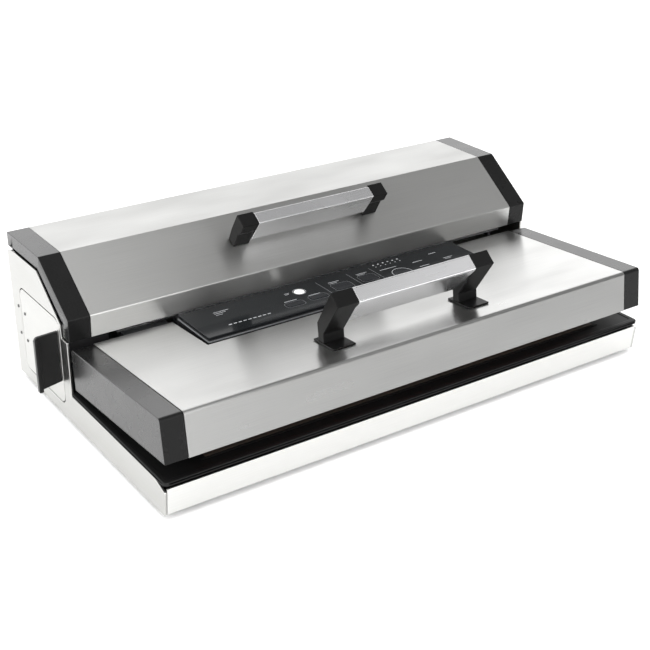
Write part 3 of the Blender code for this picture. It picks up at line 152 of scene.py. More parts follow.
def miter(points: np.ndarray, closed: bool = True) -> np.ndarray:
    """How each point moves when every side is shifted one unit to its left.

    The shift at a point is the sum of its two sides' normals over one plus their dot
    product; an open path's ends use their only side.

    Args:
        points: the outline or path.
        closed: whether its end joins its start.

    Returns:
        The shift of each point.
    """
    side = _unit(np.roll(points, -1, 0) - points)
    normal = np.stack([-side[:, 1], side[:, 0]], 1)
    before = np.roll(normal, 1, 0)
    if not closed:
        before[0] = normal[0]
        normal[-1] = before[-1]
    dot = (normal * before).sum(1, keepdims=True)
    return (normal + before) / np.maximum(1 + dot, STEEPEST_MITER)


def turned_left(points: np.ndarray, left: bool = True) -> np.ndarray:
    """Outline run anticlockwise, or clockwise for a hole.

    Args:
        points: the outline, run either way.
        left: whether to run it anticlockwise.

    Returns:
        The outline, turned round where needed.
    """
    after = np.roll(points, -1, 0)
    area = (points[:, 0] * after[:, 1] - after[:, 0] * points[:, 1]).sum()
    return points if (area > 0) == left else points[::-1]


def rectangle(u0: float, u1: float, v0: float, v1: float) -> np.ndarray:
    """Corners of an upright rectangle."""
    return np.array([(u0, v0), (u1, v0), (u1, v1), (u0, v1)])


def circle(u: float, v: float, radius: float, sides: int = 40) -> np.ndarray:
    """Points evenly spaced on a circle: centre + radius * (cos a, sin a)."""
    a = np.arange(sides) * (2 * math.pi / sides)
    return np.stack([u + radius * np.cos(a), v + radius * np.sin(a)], 1)


# ------------------------------------------------------------------ the machine's frame
@dataclass(frozen=True)
class Machine:
    """Where the drawing's x, fwd and up lie in the frame.

    Args:
        middle_x: frame x of the machine's own middle.
        back_y: frame y of its back edge.
        base_z: frame z of the underside of its steel base.
    """

    middle_x: float
    back_y: float
    base_z: float

    @classmethod
    def from_frame(cls) -> "Machine":
        """Read the three places off the solids of the frame.

        Returns:
            The machine as it stands in the frame.
        """
        panel_low, panel_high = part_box("panel_overlay")
        cover_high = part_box("rear_lid_cover")[1]
        return cls((panel_low[0] + panel_high[0]) / 2, cover_high[1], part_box("base_pan")[0][2])

    def world(self, points: np.ndarray) -> np.ndarray:
        """Turn (x, fwd, up) rows into frame coordinates."""
        x, fwd, up = points.T
        return np.stack([self.middle_x + x, self.back_y - fwd, self.base_z + up], 1)


@dataclass(frozen=True)
class Tilt:
    """Turn about a hinge that runs along x, which lifts what lies in front of it.

    Args:
        fwd: the hinge's distance forward.
        up: the hinge's height.
        angle: the turn in radians.
    """

    fwd: float = 0.0
    up: float = 0.0
    angle: float = 0.0

    def apply(self, points: np.ndarray) -> np.ndarray:
        """Rotate points by the angle about the hinge.

        Args:
            points: rows of x, fwd, up.

        Returns:
            The turned rows.
        """
        out = np.array(points, float)
        ahead, over = points[:, 1] - self.fwd, points[:, 2] - self.up
        cos, sin = math.cos(self.angle), math.sin(self.angle)
        out[:, 1] = self.fwd + ahead * cos - over * sin
        out[:, 2] = self.up + ahead * sin + over * cos
        return out


LEVEL = Tilt()
AJAR = Tilt(0.1255, 0.0660, math.radians(3.84))     # the front lid about its hinge, at rest


# ------------------------------------------------------------------ surfaces
class Surface:
    """Grids and flat caps gathered into one mesh, with a grain map."""

    def __init__(self) -> None:
        """Start with nothing."""
        self.points: list[np.ndarray] = []
        self.faces: list[list[int]] = []
        self.grain: list[np.ndarray] = []
        self.count = 0

    def add(self, points: np.ndarray, faces: np.ndarray, grain: np.ndarray) -> None:
        """Add faces over new points.

        Args:
            points: (k, 3) rows of x, fwd, up.
            faces: (f, corners) indices into points.
            grain: (k, 2) grain map; its first number runs along the brushing.
        """
        self.points.append(points)
        self.faces.extend((faces + self.count).tolist())
        self.grain.append(grain[faces.ravel()])
        self.count += len(points)

    def grid(self, points: np.ndarray, grain: np.ndarray, keep: np.ndarray | None = None) -> None:
        """Add the cells of a grid.

        Args:
            points: (rows, columns, 3) array of x, fwd, up.
            grain: the grain map at each point.
            keep: which cells to add, or None for all.
        """
        rows, columns = points.shape[:2]
        index = np.arange(rows * columns).reshape(rows, columns)
        cells = np.stack([index[:-1, :-1], index[1:, :-1], index[1:, 1:], index[:-1, 1:]], -1)
        cells = cells.reshape(-1, 4) if keep is None else cells[keep]
        self.add(points.reshape(-1, 3), cells, grain.reshape(-1, 2))

    def stack(self, loops: Sequence[np.ndarray], depths: np.ndarray, view: View) -> "Surface":
        """Close a pile of outlines into a body.

        Ring k of each loop lies at depths[k]; the strips between rings are the walls, and
        the first and last rings are filled, with the later loops as holes.

        Args:
            loops: one (rings, points, 2) array for each loop, the outer one first.
            depths: where each ring lies across the view.
            view: the plane of the outlines.

        Returns:
            This surface.
        """
        for rings in loops:
            shut = np.concatenate([rings, rings[:, :1]], 1)
            run = np.linalg.norm(np.diff(shut, axis=1), axis=2).mean(0).cumsum()
            run = np.broadcast_to(np.concatenate([[0.0], run]), shut.shape[:2])
            depth = np.broadcast_to(depths[:, None], shut.shape[:2])
            along = (depth, run) if view is View.SIDE else (run, depth)
            self.grid(self._place(shut, depth, view), np.stack(along, -1))
        for end in (0, -1):
            flat = [rings[end] for rings in loops]
            points = np.concatenate(flat)
            corners = [[Vector((*row, 0.0)) for row in loop.tolist()] for loop in flat]
            faces = np.array(tessellate_polygon(corners))
            self.add(self._place(points, np.full(len(points), depths[end]), view), faces, points)
        return self

    @staticmethod
    def _place(flat: np.ndarray, depth: np.ndarray, view: View) -> np.ndarray:
        """Put outline pairs and their depth into the order x, fwd, up.

        Args:
            flat: pairs in the view's plane.
            depth: where each pair lies across it.
            view: the plane.

        Returns:
            The points.
        """
        u, v = flat[..., 0], flat[..., 1]
        order = {View.SIDE: (depth, u, v), View.PLAN: (u, v, depth), View.FRONT: (u, depth, v)}
        return np.stack(order[view], -1)

    def prism(
        self,
        loops: Sequence[np.ndarray],
        view: View,
        low: float,
        high: float,
        rim: float = 0.0004,
        steps: int = 3,
    ) -> "Surface":
        """Flat outlines given their thickness, with rounded rims.

        At angle a of a rim the outline is drawn in by rim * (1 - sin a) and lies
        rim * (1 - cos a) inside the end face.

        Args:
            loops: the outline, then any holes in it.
            view: the plane of the outlines.
            low: the lower end across the view.
            high: the higher end.
            rim: radius of the rims.
            steps: straight steps in a rim.

        Returns:
            This surface.
        """
        a = np.linspace(0, math.pi / 2, steps + 1)
        support = min(SUPPORT, rim)
        inset = np.concatenate([[rim + support], rim * (1 - np.sin(a)), [0.0]])
        rise = np.concatenate([[0.0], rim * (1 - np.cos(a)), [rim + support]])
        inset = np.concatenate([inset, inset[::-1]])
        depths = np.concatenate([low + rise, high - rise[::-1]])
        rounds = []
        for number, loop in enumerate(loops):
            run = turned_left(np.asarray(loop, float), number == 0)
            rounds.append(run + inset[:, None, None] * miter(run))
        return self.stack(rounds, depths, view)

    def turned(
        self, profile: Sequence, centre: Sequence[float], axis: str, sides: int = 40
    ) -> "Surface":
        """Profile of (radius, height) pairs spun round an axis through centre.

        A point is centre + radius * (cos a, sin a) square to the axis + height along it.

        Args:
            profile: the (radius, height) pairs, from one end of the axis to the other.
            centre: x, fwd and up of the place that heights are counted from.
            axis: x, fwd or up.
            sides: steps in one turn.

        Returns:
            This surface.
        """
        rows = np.asarray(profile, float)
        a = np.linspace(0, 2 * math.pi, sides + 1)
        across = rows[:, :1] * np.cos(a), rows[:, :1] * np.sin(a)
        along = np.broadcast_to(rows[:, 1:], across[0].shape)
        u, v = across
        order = {"x": (along, u, v), "fwd": (u, along, v), "up": (u, v, along)}
        points = np.stack(order[axis], -1) + np.asarray(centre, float)
        run = np.concatenate([[0.0], np.linalg.norm(np.diff(rows, axis=0), axis=1).cumsum()])
        grain = np.stack(np.broadcast_arrays(a[None] * rows[:, :1].max(), run[:, None]), -1)
        self.grid(points, grain)
        return self

    def build(self, name: str, machine: Machine, tilt: Tilt = LEVEL) -> bpy.types.Object:
        """Merge the grids into one closed mesh in the frame.

        Args:
            name: the object's name.
            machine: where the drawing lies in the frame.
            tilt: the turn of the lid that it belongs to.

        Returns:
            The new object.
        """
        mesh = bpy.data.meshes.new(name)
        points = machine.world(tilt.apply(np.concatenate(self.points)))
        mesh.from_pydata(points.tolist(), [], self.faces)
        grain = mesh.uv_layers.new(name=GRAIN_MAP)
        grain.uv.foreach_set("vector", np.concatenate(self.grain).astype(np.float32).ravel())
        bm = bmesh.new()
        bm.from_mesh(mesh)
        bmesh.ops.remove_doubles(bm, verts=bm.verts, dist=MERGE)
        bmesh.ops.dissolve_degenerate(bm, edges=bm.edges, dist=MERGE / 10)
        loose = [vertex for vertex in bm.verts if not vertex.link_faces]
        bmesh.ops.delete(bm, geom=loose, context="VERTS")
        bmesh.ops.recalc_face_normals(bm, faces=bm.faces)
        bm.to_mesh(mesh)
        bm.free()
        mesh.shade_smooth()
        mesh.set_sharp_from_angle(angle=SHARP)
        piece = bpy.data.objects.new(name, mesh)
        bpy.context.scene.collection.objects.link(piece)
        return piece


@dataclass
class FoldedSheet:
    """A sheet bent along x, with rectangular openings cut in it.

    The outside is point(x, s) = (x, path at arc length s); the inside is the same with the
    path shifted to its right by the thickness, and rims join them along every edge.
    """

    path: np.ndarray
    half: float
    thickness: float = SHEET
    openings: list[tuple[float, float, float, float]] = field(default_factory=list)

    def run_at(self, fwd: float | None = None, up: float | None = None) -> float:
        """Arc length at which the path first reaches a given place.

        Args:
            fwd: the place's distance forward, where up isn't given.
            up: the place's height.

        Returns:
            The arc length.
        """
        values = self.path[:, 0] if up is None else self.path[:, 1]
        target = fwd if up is None else up
        run = self.run()
        crossed = np.flatnonzero((values[:-1] - target) * (values[1:] - target) <= 0)
        i = int(crossed[0])
        share = (target - values[i]) / (values[i + 1] - values[i])
        return float(run[i] + share * (run[i + 1] - run[i]))

    def run(self) -> np.ndarray:
        """Arc length at each point of the path."""
        steps = np.linalg.norm(np.diff(self.path, axis=0), axis=1)
        return np.concatenate([[0.0], steps.cumsum()])

    def surface(self) -> Surface:
        """Both faces and the rims of the sheet.

        Returns:
            One closed surface.
        """
        run = self.run()
        cuts = np.array(self.openings).reshape(-1, 4)
        xs = np.unique(np.concatenate([[-self.half, self.half], cuts[:, :2].ravel()]))
        ss = np.unique(np.concatenate([run, cuts[:, 2:].ravel()]))
        inside = self.path - self.thickness * miter(self.path, False)
        faces = []
        for line in (self.path, inside):
            flat = np.stack([np.interp(ss, run, line[:, 0]), np.interp(ss, run, line[:, 1])], -1)
            x = np.broadcast_to(xs[:, None, None], (len(xs), len(ss), 1))
            faces.append(np.concatenate([x, np.broadcast_to(flat, (len(xs), len(ss), 2))], -1))
        middle_x = ((xs[1:] + xs[:-1]) / 2)[:, None, None]
        middle_s = ((ss[1:] + ss[:-1]) / 2)[None, :, None]
        in_x = (middle_x > cuts[:, 0]) & (middle_x < cuts[:, 1])
        in_s = (middle_s > cuts[:, 2]) & (middle_s < cuts[:, 3])
        keep = ~(in_x & in_s).any(-1)
        grain = np.stack(np.broadcast_arrays(xs[:, None], ss[None]), -1)
        out = Surface()
        for points in faces:
            out.grid(points, grain, keep)
        self._rims(out, faces, grain, keep)
        return out

    def _rims(
        self, out: Surface, faces: list[np.ndarray], grain: np.ndarray, keep: np.ndarray
    ) -> None:
        """Join the two faces along every grid line that has sheet on one side only.

        Args:
            out: the surface to add to.
            faces: the outer and the inner grid of points.
            grain: the grain map at each point of a grid.
            keep: which cells of the grids are sheet.
        """
        known = np.pad(keep, 1)
        index = np.arange(grain.shape[0] * grain.shape[1]).reshape(grain.shape[:2])
        across = known[:-1, 1:-1] ^ known[1:, 1:-1]
        along = known[1:-1, :-1] ^ known[1:-1, 1:]
        ends = [
            np.stack([index[:, :-1][across], index[:, 1:][across]], 1),
            np.stack([index[:-1][along], index[1:][along]], 1),
        ]
        pairs = np.concatenate(ends)
        quads = np.concatenate([pairs, pairs[:, ::-1] + index.size], 1)
        points = np.concatenate([face.reshape(-1, 3) for face in faces])
        flat = grain.reshape(-1, 2)
        out.add(points, quads, np.concatenate([flat, flat + self.thickness]))


# ------------------------------------------------------------------ finishes
class Graph:
    """A node tree, and short ways to add to it."""

    def __init__(self, tree: bpy.types.NodeTree) -> None:
        """Keep the tree."""
        self.tree = tree

    def feed(self, target: bpy.types.NodeSocket, value: object) -> None:
        """Link another node's socket into an input, or set a plain value on it.

        Args:
            target: the input.
            value: the socket or the value.
        """
        if isinstance(value, bpy.types.NodeSocket):
            self.tree.links.new(value, target)
        else:
            target.default_value = value

    def new(self, kind: str, inputs: dict | None = None, **settings: object) -> bpy.types.Node:
        """Add a node.

        Args:
            kind: its kind, such as Mapping.
            inputs: a value, or a socket to link, for each named or numbered input.
            settings: its own properties.

        Returns:
            The node.
        """
        node = self.tree.nodes.new("ShaderNode" + kind)
        for key, value in settings.items():
            setattr(node, key, value)
        for key, value in (inputs or {}).items():
            self.feed(node.inputs[key], value)
        return node

    def math(self, operation: str, first: object, second: object) -> bpy.types.NodeSocket:
        """Join two values by an operation."""
        return self.new("Math", {0: first, 1: second}, operation=operation).outputs["Value"]

    def ranged(
        self,
        value: bpy.types.NodeSocket,
        source: tuple[float, float],
        target: tuple[float, float] = (0.0, 1.0),
        kind: str = "SMOOTHSTEP",
    ) -> bpy.types.NodeSocket:
        """Map a value from one range onto another, and hold it between its ends.

        Args:
            value: the value.
            source: where it starts and ends.
            target: what these become.
            kind: LINEAR, or SMOOTHSTEP for a soft start and end.

        Returns:
            The new value.
        """
        names = ("From Min", "From Max", "To Min", "To Max")
        inputs = dict(zip(names, (*source, *target)), Value=value)
        return self.new("MapRange", inputs, interpolation_type=kind).outputs["Result"]


class Nodes(Graph):
    """A material's node tree, with one Principled shader."""

    def __init__(self, name: str) -> None:
        """Make an empty material.

        Args:
            name: its name.
        """
        self.material = bpy.data.materials.new(name)
        self.material.use_nodes = True
        super().__init__(self.material.node_tree)

    def put(self, inputs: dict) -> None:
        """Set or link the shader's inputs by name."""
        for key, value in inputs.items():
            self.feed(self.tree.nodes["Principled BSDF"].inputs[key], value)

    def noise(
        self, stretch: tuple[float, float, float], detail: float = 3.0, from_map: bool = False
    ) -> bpy.types.NodeSocket:
        """Noise with its own scale along each axis.

        Args:
            stretch: cells in a metre along x, y and z, or along and across the grain.
            detail: octaves of finer noise.
            from_map: read the piece's grain map and not its object coordinates.

        Returns:
            The noise's value, mostly between the two ends of NOISE_ENDS.
        """
        if from_map:
            source = self.new("UVMap", uv_map=GRAIN_MAP).outputs["UV"]
        else:
            source = self.new("TexCoord").outputs["Object"]
        place = self.new("Mapping", {"Scale": stretch, "Vector": source}).outputs["Vector"]
        inputs = {"Scale": 1.0, "Detail": detail, "Vector": place}
        return self.new("TexNoise", inputs).outputs["Fac"]

    def spread(self, value: bpy.types.NodeSocket, low: float, high: float) -> bpy.types.NodeSocket:
        """Map noise onto low to high."""
        return self.ranged(value, NOISE_ENDS, (low, high), "LINEAR")

    def blend(
        self, value: bpy.types.NodeSocket, colour: Sequence[float], low: float, high: float
    ) -> bpy.types.NodeSocket:
        """Colour made darker or lighter by noise.

        Args:
            value: the noise.
            colour: the colour.
            low: what it is multiplied by where the noise is low.
            high: the same where the noise is high.

        Returns:
            The colour at each place.
        """
        ramp = self.new("ValToRGB", {"Fac": value})
        for stop, place, factor in zip(ramp.color_ramp.elements, NOISE_ENDS, (low, high)):
            stop.position = place
            stop.color = (*(min(1.0, part * factor) for part in colour), 1.0)
        return ramp.outputs["Color"]

    def facing(self, elsewhere: float, forwards: float) -> bpy.types.NodeSocket:
        """Value that goes over from one to another as a face turns to the front.

        Args:
            elsewhere: the value on tops, sides and backs.
            forwards: the value on faces that lean or stand towards the user.

        Returns:
            The value, by the y of the object's own normal.
        """
        normal = self.new("TexCoord").outputs["Normal"]
        split = self.new("SeparateXYZ", {"Vector": normal})
        return self.ranged(split.outputs["Y"], TURN_TO_FRONT, (elsewhere, forwards))

    def bump(self, height: bpy.types.NodeSocket, strength: float, distance: float) -> None:
        """Raise the surface by a height times a distance in metres."""
        inputs = {"Strength": strength, "Distance": distance, "Height": height}
        self.put({"Normal": self.new("Bump", inputs).outputs["Normal"]})


@dataclass(frozen=True)
class Brushed:
    """Metal brushed along the first direction of its grain map.

    Args:
        name: the finish's name.
        colour: the metal's colour where light falls square on it.
        roughness: how rough it is on the whole.
        stretch: how much further a reflection is drawn out across the grain, 0 to 1.
        streaks: how strongly the brushing lines vary in tone.
        mapped: whether its pieces carry a grain map.
        front: tone of its faces turned to the front against the rest; above one it is a painted
            highlight and below one painted shade, for how these faces meet the light.
    """

    name: str
    colour: tuple[float, float, float] = (0.70, 0.70, 0.69)
    roughness: float = 0.30
    stretch: float = 0.75
    streaks: float = 0.06
    mapped: bool = True
    front: float = 1.0

    def make(self) -> bpy.types.Material:
        """Build the material: long fine lines in tone, roughness and height.

        Returns:
            The new material.
        """
        nodes = Nodes(self.name)
        nodes.put({"Metallic": 1.0})
        if self.mapped:
            tangent = nodes.new("Tangent", direction_type="UV_MAP", uv_map=GRAIN_MAP)
            nodes.put({
                "Anisotropic": self.stretch,
                "Anisotropic Rotation": 0.25,
                "Tangent": tangent.outputs["Tangent"],
            })
        lines = nodes.noise(BRUSH_LINES, 4.0, self.mapped)
        cloud = nodes.noise(BRUSH_CLOUD, 2.0, self.mapped)
        tone = nodes.blend(lines, self.colour, 1 - self.streaks, 1 + self.streaks)
        # painted light: faces turned to the front get their tone scaled by the front setting, as a
        # painted highlight or painted shade
        inputs = {"Vector": tone, "Scale": nodes.facing(1.0, self.front)}
        scaled = nodes.new("VectorMath", inputs, operation="SCALE")
        nodes.put({
            "Base Color": scaled.outputs["Vector"],
            "Roughness": nodes.spread(cloud, self.roughness * 0.88, self.roughness * 1.14),
        })
        nodes.bump(lines, 0.10, 0.00004)
        return nodes.material


@dataclass(frozen=True)
class Moulding:
    """Moulded plastic or rubber with a fine grain.

    Args:
        name: the finish's name.
        colour: its colour.
        roughness: how matt it is.
        grain: cells of surface grain in a metre.
        height: the grain's height in metres.
        shine: strength of its reflections.
        front: the same on faces turned to the front, which are grained deeper.
    """

    name: str
    colour: tuple[float, float, float]
    roughness: float = 0.38
    grain: float = 1500.0
    height: float = 0.00003
    shine: float = 0.5
    front: float = 0.5

    def make(self) -> bpy.types.Material:
        """Build the material: slow changes of tone and gloss over a fine even grain.

        Returns:
            The new material.
        """
        nodes = Nodes(self.name)
        fine = nodes.noise((self.grain,) * 3, 2.0)
        cloud = nodes.noise(MOULDING_CLOUD, 3.0)
        nodes.put({
            "Specular IOR Level": nodes.facing(self.shine, self.front),
            "Base Color": nodes.blend(cloud, self.colour, 0.88, 1.12),
            "Roughness": nodes.spread(cloud, self.roughness * 0.90, self.roughness * 1.12),
        })
        nodes.bump(fine, 0.25, self.height)
        return nodes.material


@dataclass(frozen=True)
class Glassy:
    """Smooth printed or polished plate, with a faint ripple and dust in its gloss."""

    name: str
    colour: tuple[float, float, float]
    roughness: float = 0.10

    def make(self) -> bpy.types.Material:
        """Build the material: an almost even dark tone with a slow ripple.

        Returns:
            The new material.
        """
        nodes = Nodes(self.name)
        cloud = nodes.noise(GLASS_RIPPLE, 2.0)
        dust = nodes.noise(GLASS_DUST, 1.0)
        nodes.put({
            "Specular IOR Level": 0.12,
            "Base Color": nodes.blend(cloud, self.colour, 0.92, 1.08),
            "Roughness": nodes.spread(dust, self.roughness * 0.85, self.roughness * 1.35),
        })
        nodes.bump(cloud, 0.06, 0.0004)
        return nodes.material


@dataclass(frozen=True)
class Woven:
    """Glass cloth, copper winding or another finely crossed surface."""

    name: str
    colour: tuple[float, float, float]
    thread: float = 0.0008
    roughness: float = 0.55
    metallic: float = 0.0

    def make(self) -> bpy.types.Material:
        """Build the material: waves along x and along y, the higher of the two at each place.

        Returns:
            The new material.
        """
        nodes = Nodes(self.name)
        place = nodes.new("TexCoord").outputs["Object"]
        inputs = {"Scale": WAVE_SCALE / self.thread, "Vector": place}
        waves = [nodes.new("TexWave", inputs, bands_direction=axis) for axis in ("X", "Y")]
        both = nodes.math("MAXIMUM", *(wave.outputs["Fac"] for wave in waves))
        nodes.put({
            "Metallic": self.metallic,
            "Roughness": self.roughness,
            "Base Color": nodes.blend(both, self.colour, 0.7, 1.1),
        })
        nodes.bump(both, 0.4, self.thread / 8)
        return nodes.material


def grey(tone: float) -> tuple[float, float, float]:
    """Colour without a tint."""
    return (tone, tone, tone)


FINISHES = {
    "base_steel": Brushed("satin_base_steel", (0.47, 0.47, 0.455), 0.34, 0.45, 0.03),
    # painted highlight: the pan's front wall is made 1.42 times lighter than its other faces
    "pan_steel": Brushed("satin_pan_steel", (0.47, 0.47, 0.46), 0.34, 0.45, 0.03, front=1.42),
    # painted shade: faces of the rear lid that turn to the front, its slope, are made a little
    # darker
    "lid_steel": Brushed("brushed_lid_steel", (0.52, 0.52, 0.51), 0.31, 0.80, 0.05, front=0.95),
    # painted shade: the front lid's front face is made half as light as its top
    "front_steel": Brushed(
        "brushed_front_steel", (0.64, 0.64, 0.63), 0.30, 0.85, 0.05, front=0.50
    ),
    "door_steel": Brushed("satin_door_steel", (0.50, 0.50, 0.485), 0.33, 0.45, 0.03),
    "handle_aluminium": Brushed("grip_aluminium", (0.84, 0.84, 0.85), 0.26, 0.60, 0.03),
    "rail_aluminium": Brushed("rail_aluminium", (0.72, 0.72, 0.73), 0.30, 0.0, 0.04, False),
    "hinge_steel": Brushed("plated_steel", (0.55, 0.55, 0.54), 0.36, 0.0, 0.05, False),
    "blade_steel": Brushed("ground_blade_steel", (0.75, 0.76, 0.78), 0.16, 0.0, 0.04, False),
    "screw_steel": Brushed("screw_steel", grey(0.10), 0.34, 0.0, 0.10, False),
    "cap_plastic": Moulding("cap_plastic", grey(0.007), 0.27, 1900.0, 0.00001, 0.72, 0.13),
    "bracket_plastic": Moulding(
        "bracket_plastic", grey(0.006), 0.32, 1700.0, 0.00002, 0.14, 0.10
    ),
    "grip_plastic": Moulding(
        "door_grip_plastic", grey(0.007), 0.36, 1700.0, 0.00002, 0.4, 0.16
    ),
    "tray_plastic": Moulding("tray_plastic", grey(0.006), 0.42, 1400.0, 0.00003, 0.14, 0.2),
    "liner_plastic": Moulding("liner_plastic", grey(0.012), 0.42, 1400.0),
    "trough_plastic": Moulding("trough_plastic", (0.016, 0.016, 0.017), 0.42, 1400.0),
    "housing_plastic": Moulding("housing_plastic", (0.010, 0.010, 0.011), 0.36, 1400.0),
    "inlet_plastic": Moulding("inlet_plastic", grey(0.015), 0.40, 1400.0),
    "cutter_plastic": Moulding("cutter_plastic", (0.020, 0.020, 0.021), 0.28, 1700.0),
    "valve_white": Moulding("valve_plastic", (0.80, 0.80, 0.78), 0.42, 1400.0),
    "hose_clear": Moulding("hose_silicone", (0.62, 0.63, 0.63), 0.34, 700.0),
    "silicone": Moulding("pressure_silicone", (0.42, 0.09, 0.06), 0.55, 900.0),
    "foot_rubber": Moulding("foot_rubber", grey(0.022), 0.78, 900.0, 0.00008),
    "gasket_foam": Moulding("gasket_foam", (0.030, 0.030, 0.033), 0.92, 1500.0, 0.0002),
    "pump_metal": Moulding("pump_casting", (0.26, 0.27, 0.28), 0.50, 800.0, 0.0001),
    "board_green": Moulding("board_lacquer", (0.02, 0.13, 0.05), 0.34, 260.0, 0.0001),
    "panel_gloss": Glassy("panel_gloss", (0.010, 0.011, 0.012), 0.09),
    "key_gloss": Glassy("key_gloss", (0.014, 0.015, 0.017), 0.11),
    "key_white": Moulding("start_key_plastic", (0.82, 0.82, 0.80), 0.30, 1200.0, 0.00001),
    "print_pale": Moulding("printed_lines", (0.42, 0.43, 0.44), 0.50, 2500.0, 0.00001),
    "print_dim": Moulding("printed_outlines", (0.13, 0.135, 0.14), 0.50, 2500.0, 0.00001),
    # partly painted shade: the cloth's own dark brown is darkened further to the near-black of the
    # shaded gap that it lies in
    "heater_tape": Woven("heater_cloth_painted_shade", (0.034, 0.026, 0.020)),
    "transformer_core": Woven("copper_winding", (0.50, 0.27, 0.14), 0.0009, 0.45, 0.6),
}


class Paintbox:
    """Puts finishes on pieces and solids, making each material once."""

    def __init__(self, nodes: dict) -> None:
        """Keep the frame's solids by name."""
        self.nodes = nodes
        self.made: dict[str, bpy.types.Material] = {}

    def material(self, slot: str) -> bpy.types.Material:
        """Find a finish's material, which is made on first use.

        Args:
            slot: the finish.

        Returns:
            The material.
        """
        if slot not in self.made:
            self.made[slot] = FINISHES[slot].make()
        return self.made[slot]

    def dress(self, piece: bpy.types.Object, slot: str) -> None:
        """Give a new piece its finish.

        Args:
            piece: the new piece.
            slot: the finish.
        """
        piece.data.materials.clear()
        piece.data.materials.append(self.material(slot))

    def dress_solid(self, node: str, slot: str) -> None:
        """Give a solid of the frame its finish."""
        for holder in self.nodes[node].material_slots:
            holder.material = self.material(slot)


class Maker:
    """The frame and the finishes that every sub-assembly works with."""

    def __init__(self, machine: Machine, paints: Paintbox) -> None:
        """Keep the machine's frame and its finishes."""
        self.machine = machine
        self.paints = paints

    def piece(
        self,
        name: str,
        surface: Surface,
        slot: str,
        body: str,
        stands_for: Sequence[str] = (),
        tilt: Tilt = LEVEL,
    ) -> None:
        """Build, dress and mount one piece.

        Args:
            name: the piece's name.
            surface: its shape.
            slot: its finish.
            body: the body that it moves with.
            stands_for: the solids that it replaces.
            tilt: the turn of the lid that it belongs to.
        """
        made = surface.build(name, self.machine, tilt)
        self.paints.dress(made, slot)
        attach(made, body)
        if stands_for:
            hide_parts(*stands_for)
        LOG.info("%s: %d faces on %s", name, len(made.data.polygons), body)

    def screw(
        self, name: str, centre: Sequence[float], axis: str, radius: float, body: str
    ) -> None:
        """Pan-head screw with a turned recess, its head standing out against an axis.

        Args:
            name: the piece's name.
            centre: where its axis meets the sheet.
            axis: x, fwd or up.
            radius: the head's radius.
            body: the body that it moves with.
        """
        profile = SCREW_HEAD * (radius, -SCREW_DEPTH * radius)
        self.piece(name, Surface().turned(profile, centre, axis, 20), "screw_steel", body)


@dataclass
class Assembly:
    """A sub-assembly whose pieces mostly move with one body.

    Args:
        maker: builds, dresses and mounts its pieces.
        body: the body that they move with.
        tilt: its turn against the drawing.
    """

    maker: Maker
    body: str = "base"
    tilt: Tilt = LEVEL

    def add(
        self, name: str, surface: Surface, slot: str, stands_for: Sequence[str] = ()
    ) -> None:
        """Make one piece on this body and at this tilt, as Maker.piece says."""
        self.maker.piece(name, surface, slot, self.body, stands_for, self.tilt)


# ------------------------------------------------------------------ handles
@dataclass
class Handle(Assembly):
    """Two brackets, their flanges and the folded grip between them.

    Args:
        name: front or rear.
        inner: distance from the middle to a bracket's inner side.
        width: a bracket's width.
        bracket: the bracket's side outline, in fwd and up.
        grip: the grip's side outline.
        flange: fwd and up limits of a flange under the bracket, or None.
    """

    name: str = ""
    inner: float = 0.0
    width: float = 0.0
    bracket: Sequence = ()
    grip: Sequence = ()
    flange: tuple[float, float, float, float] | None = None

    def build(self) -> None:
        """Make both brackets and the grip."""
        for side, word in SIDES:
            low, high = sorted((side * self.inner, side * (self.inner + self.width)))
            outline = fillet(self.bracket, 0.0005, 2)
            shape = Surface().prism([outline], View.SIDE, low, high, 0.0005)
            if self.flange:
                back, front, foot, top = self.flange
                plan = fillet(rectangle(low - 0.0008, high + 0.0008, back, front), 0.0006, 3)
                shape.prism([plan], View.PLAN, foot, top, 0.0003)
            node = f"{self.name}_bracket_{word}"
            self.add(node + "_moulding", shape, "bracket_plastic", [node])
        bar = Surface().prism(
            [fillet(self.grip, 0.0013, 6)], View.SIDE, -self.inner + GAP, self.inner - GAP, 0.0002
        )
        node = f"{self.name}_grip"
        self.add(node + "_bar", bar, "handle_aluminium", [node])


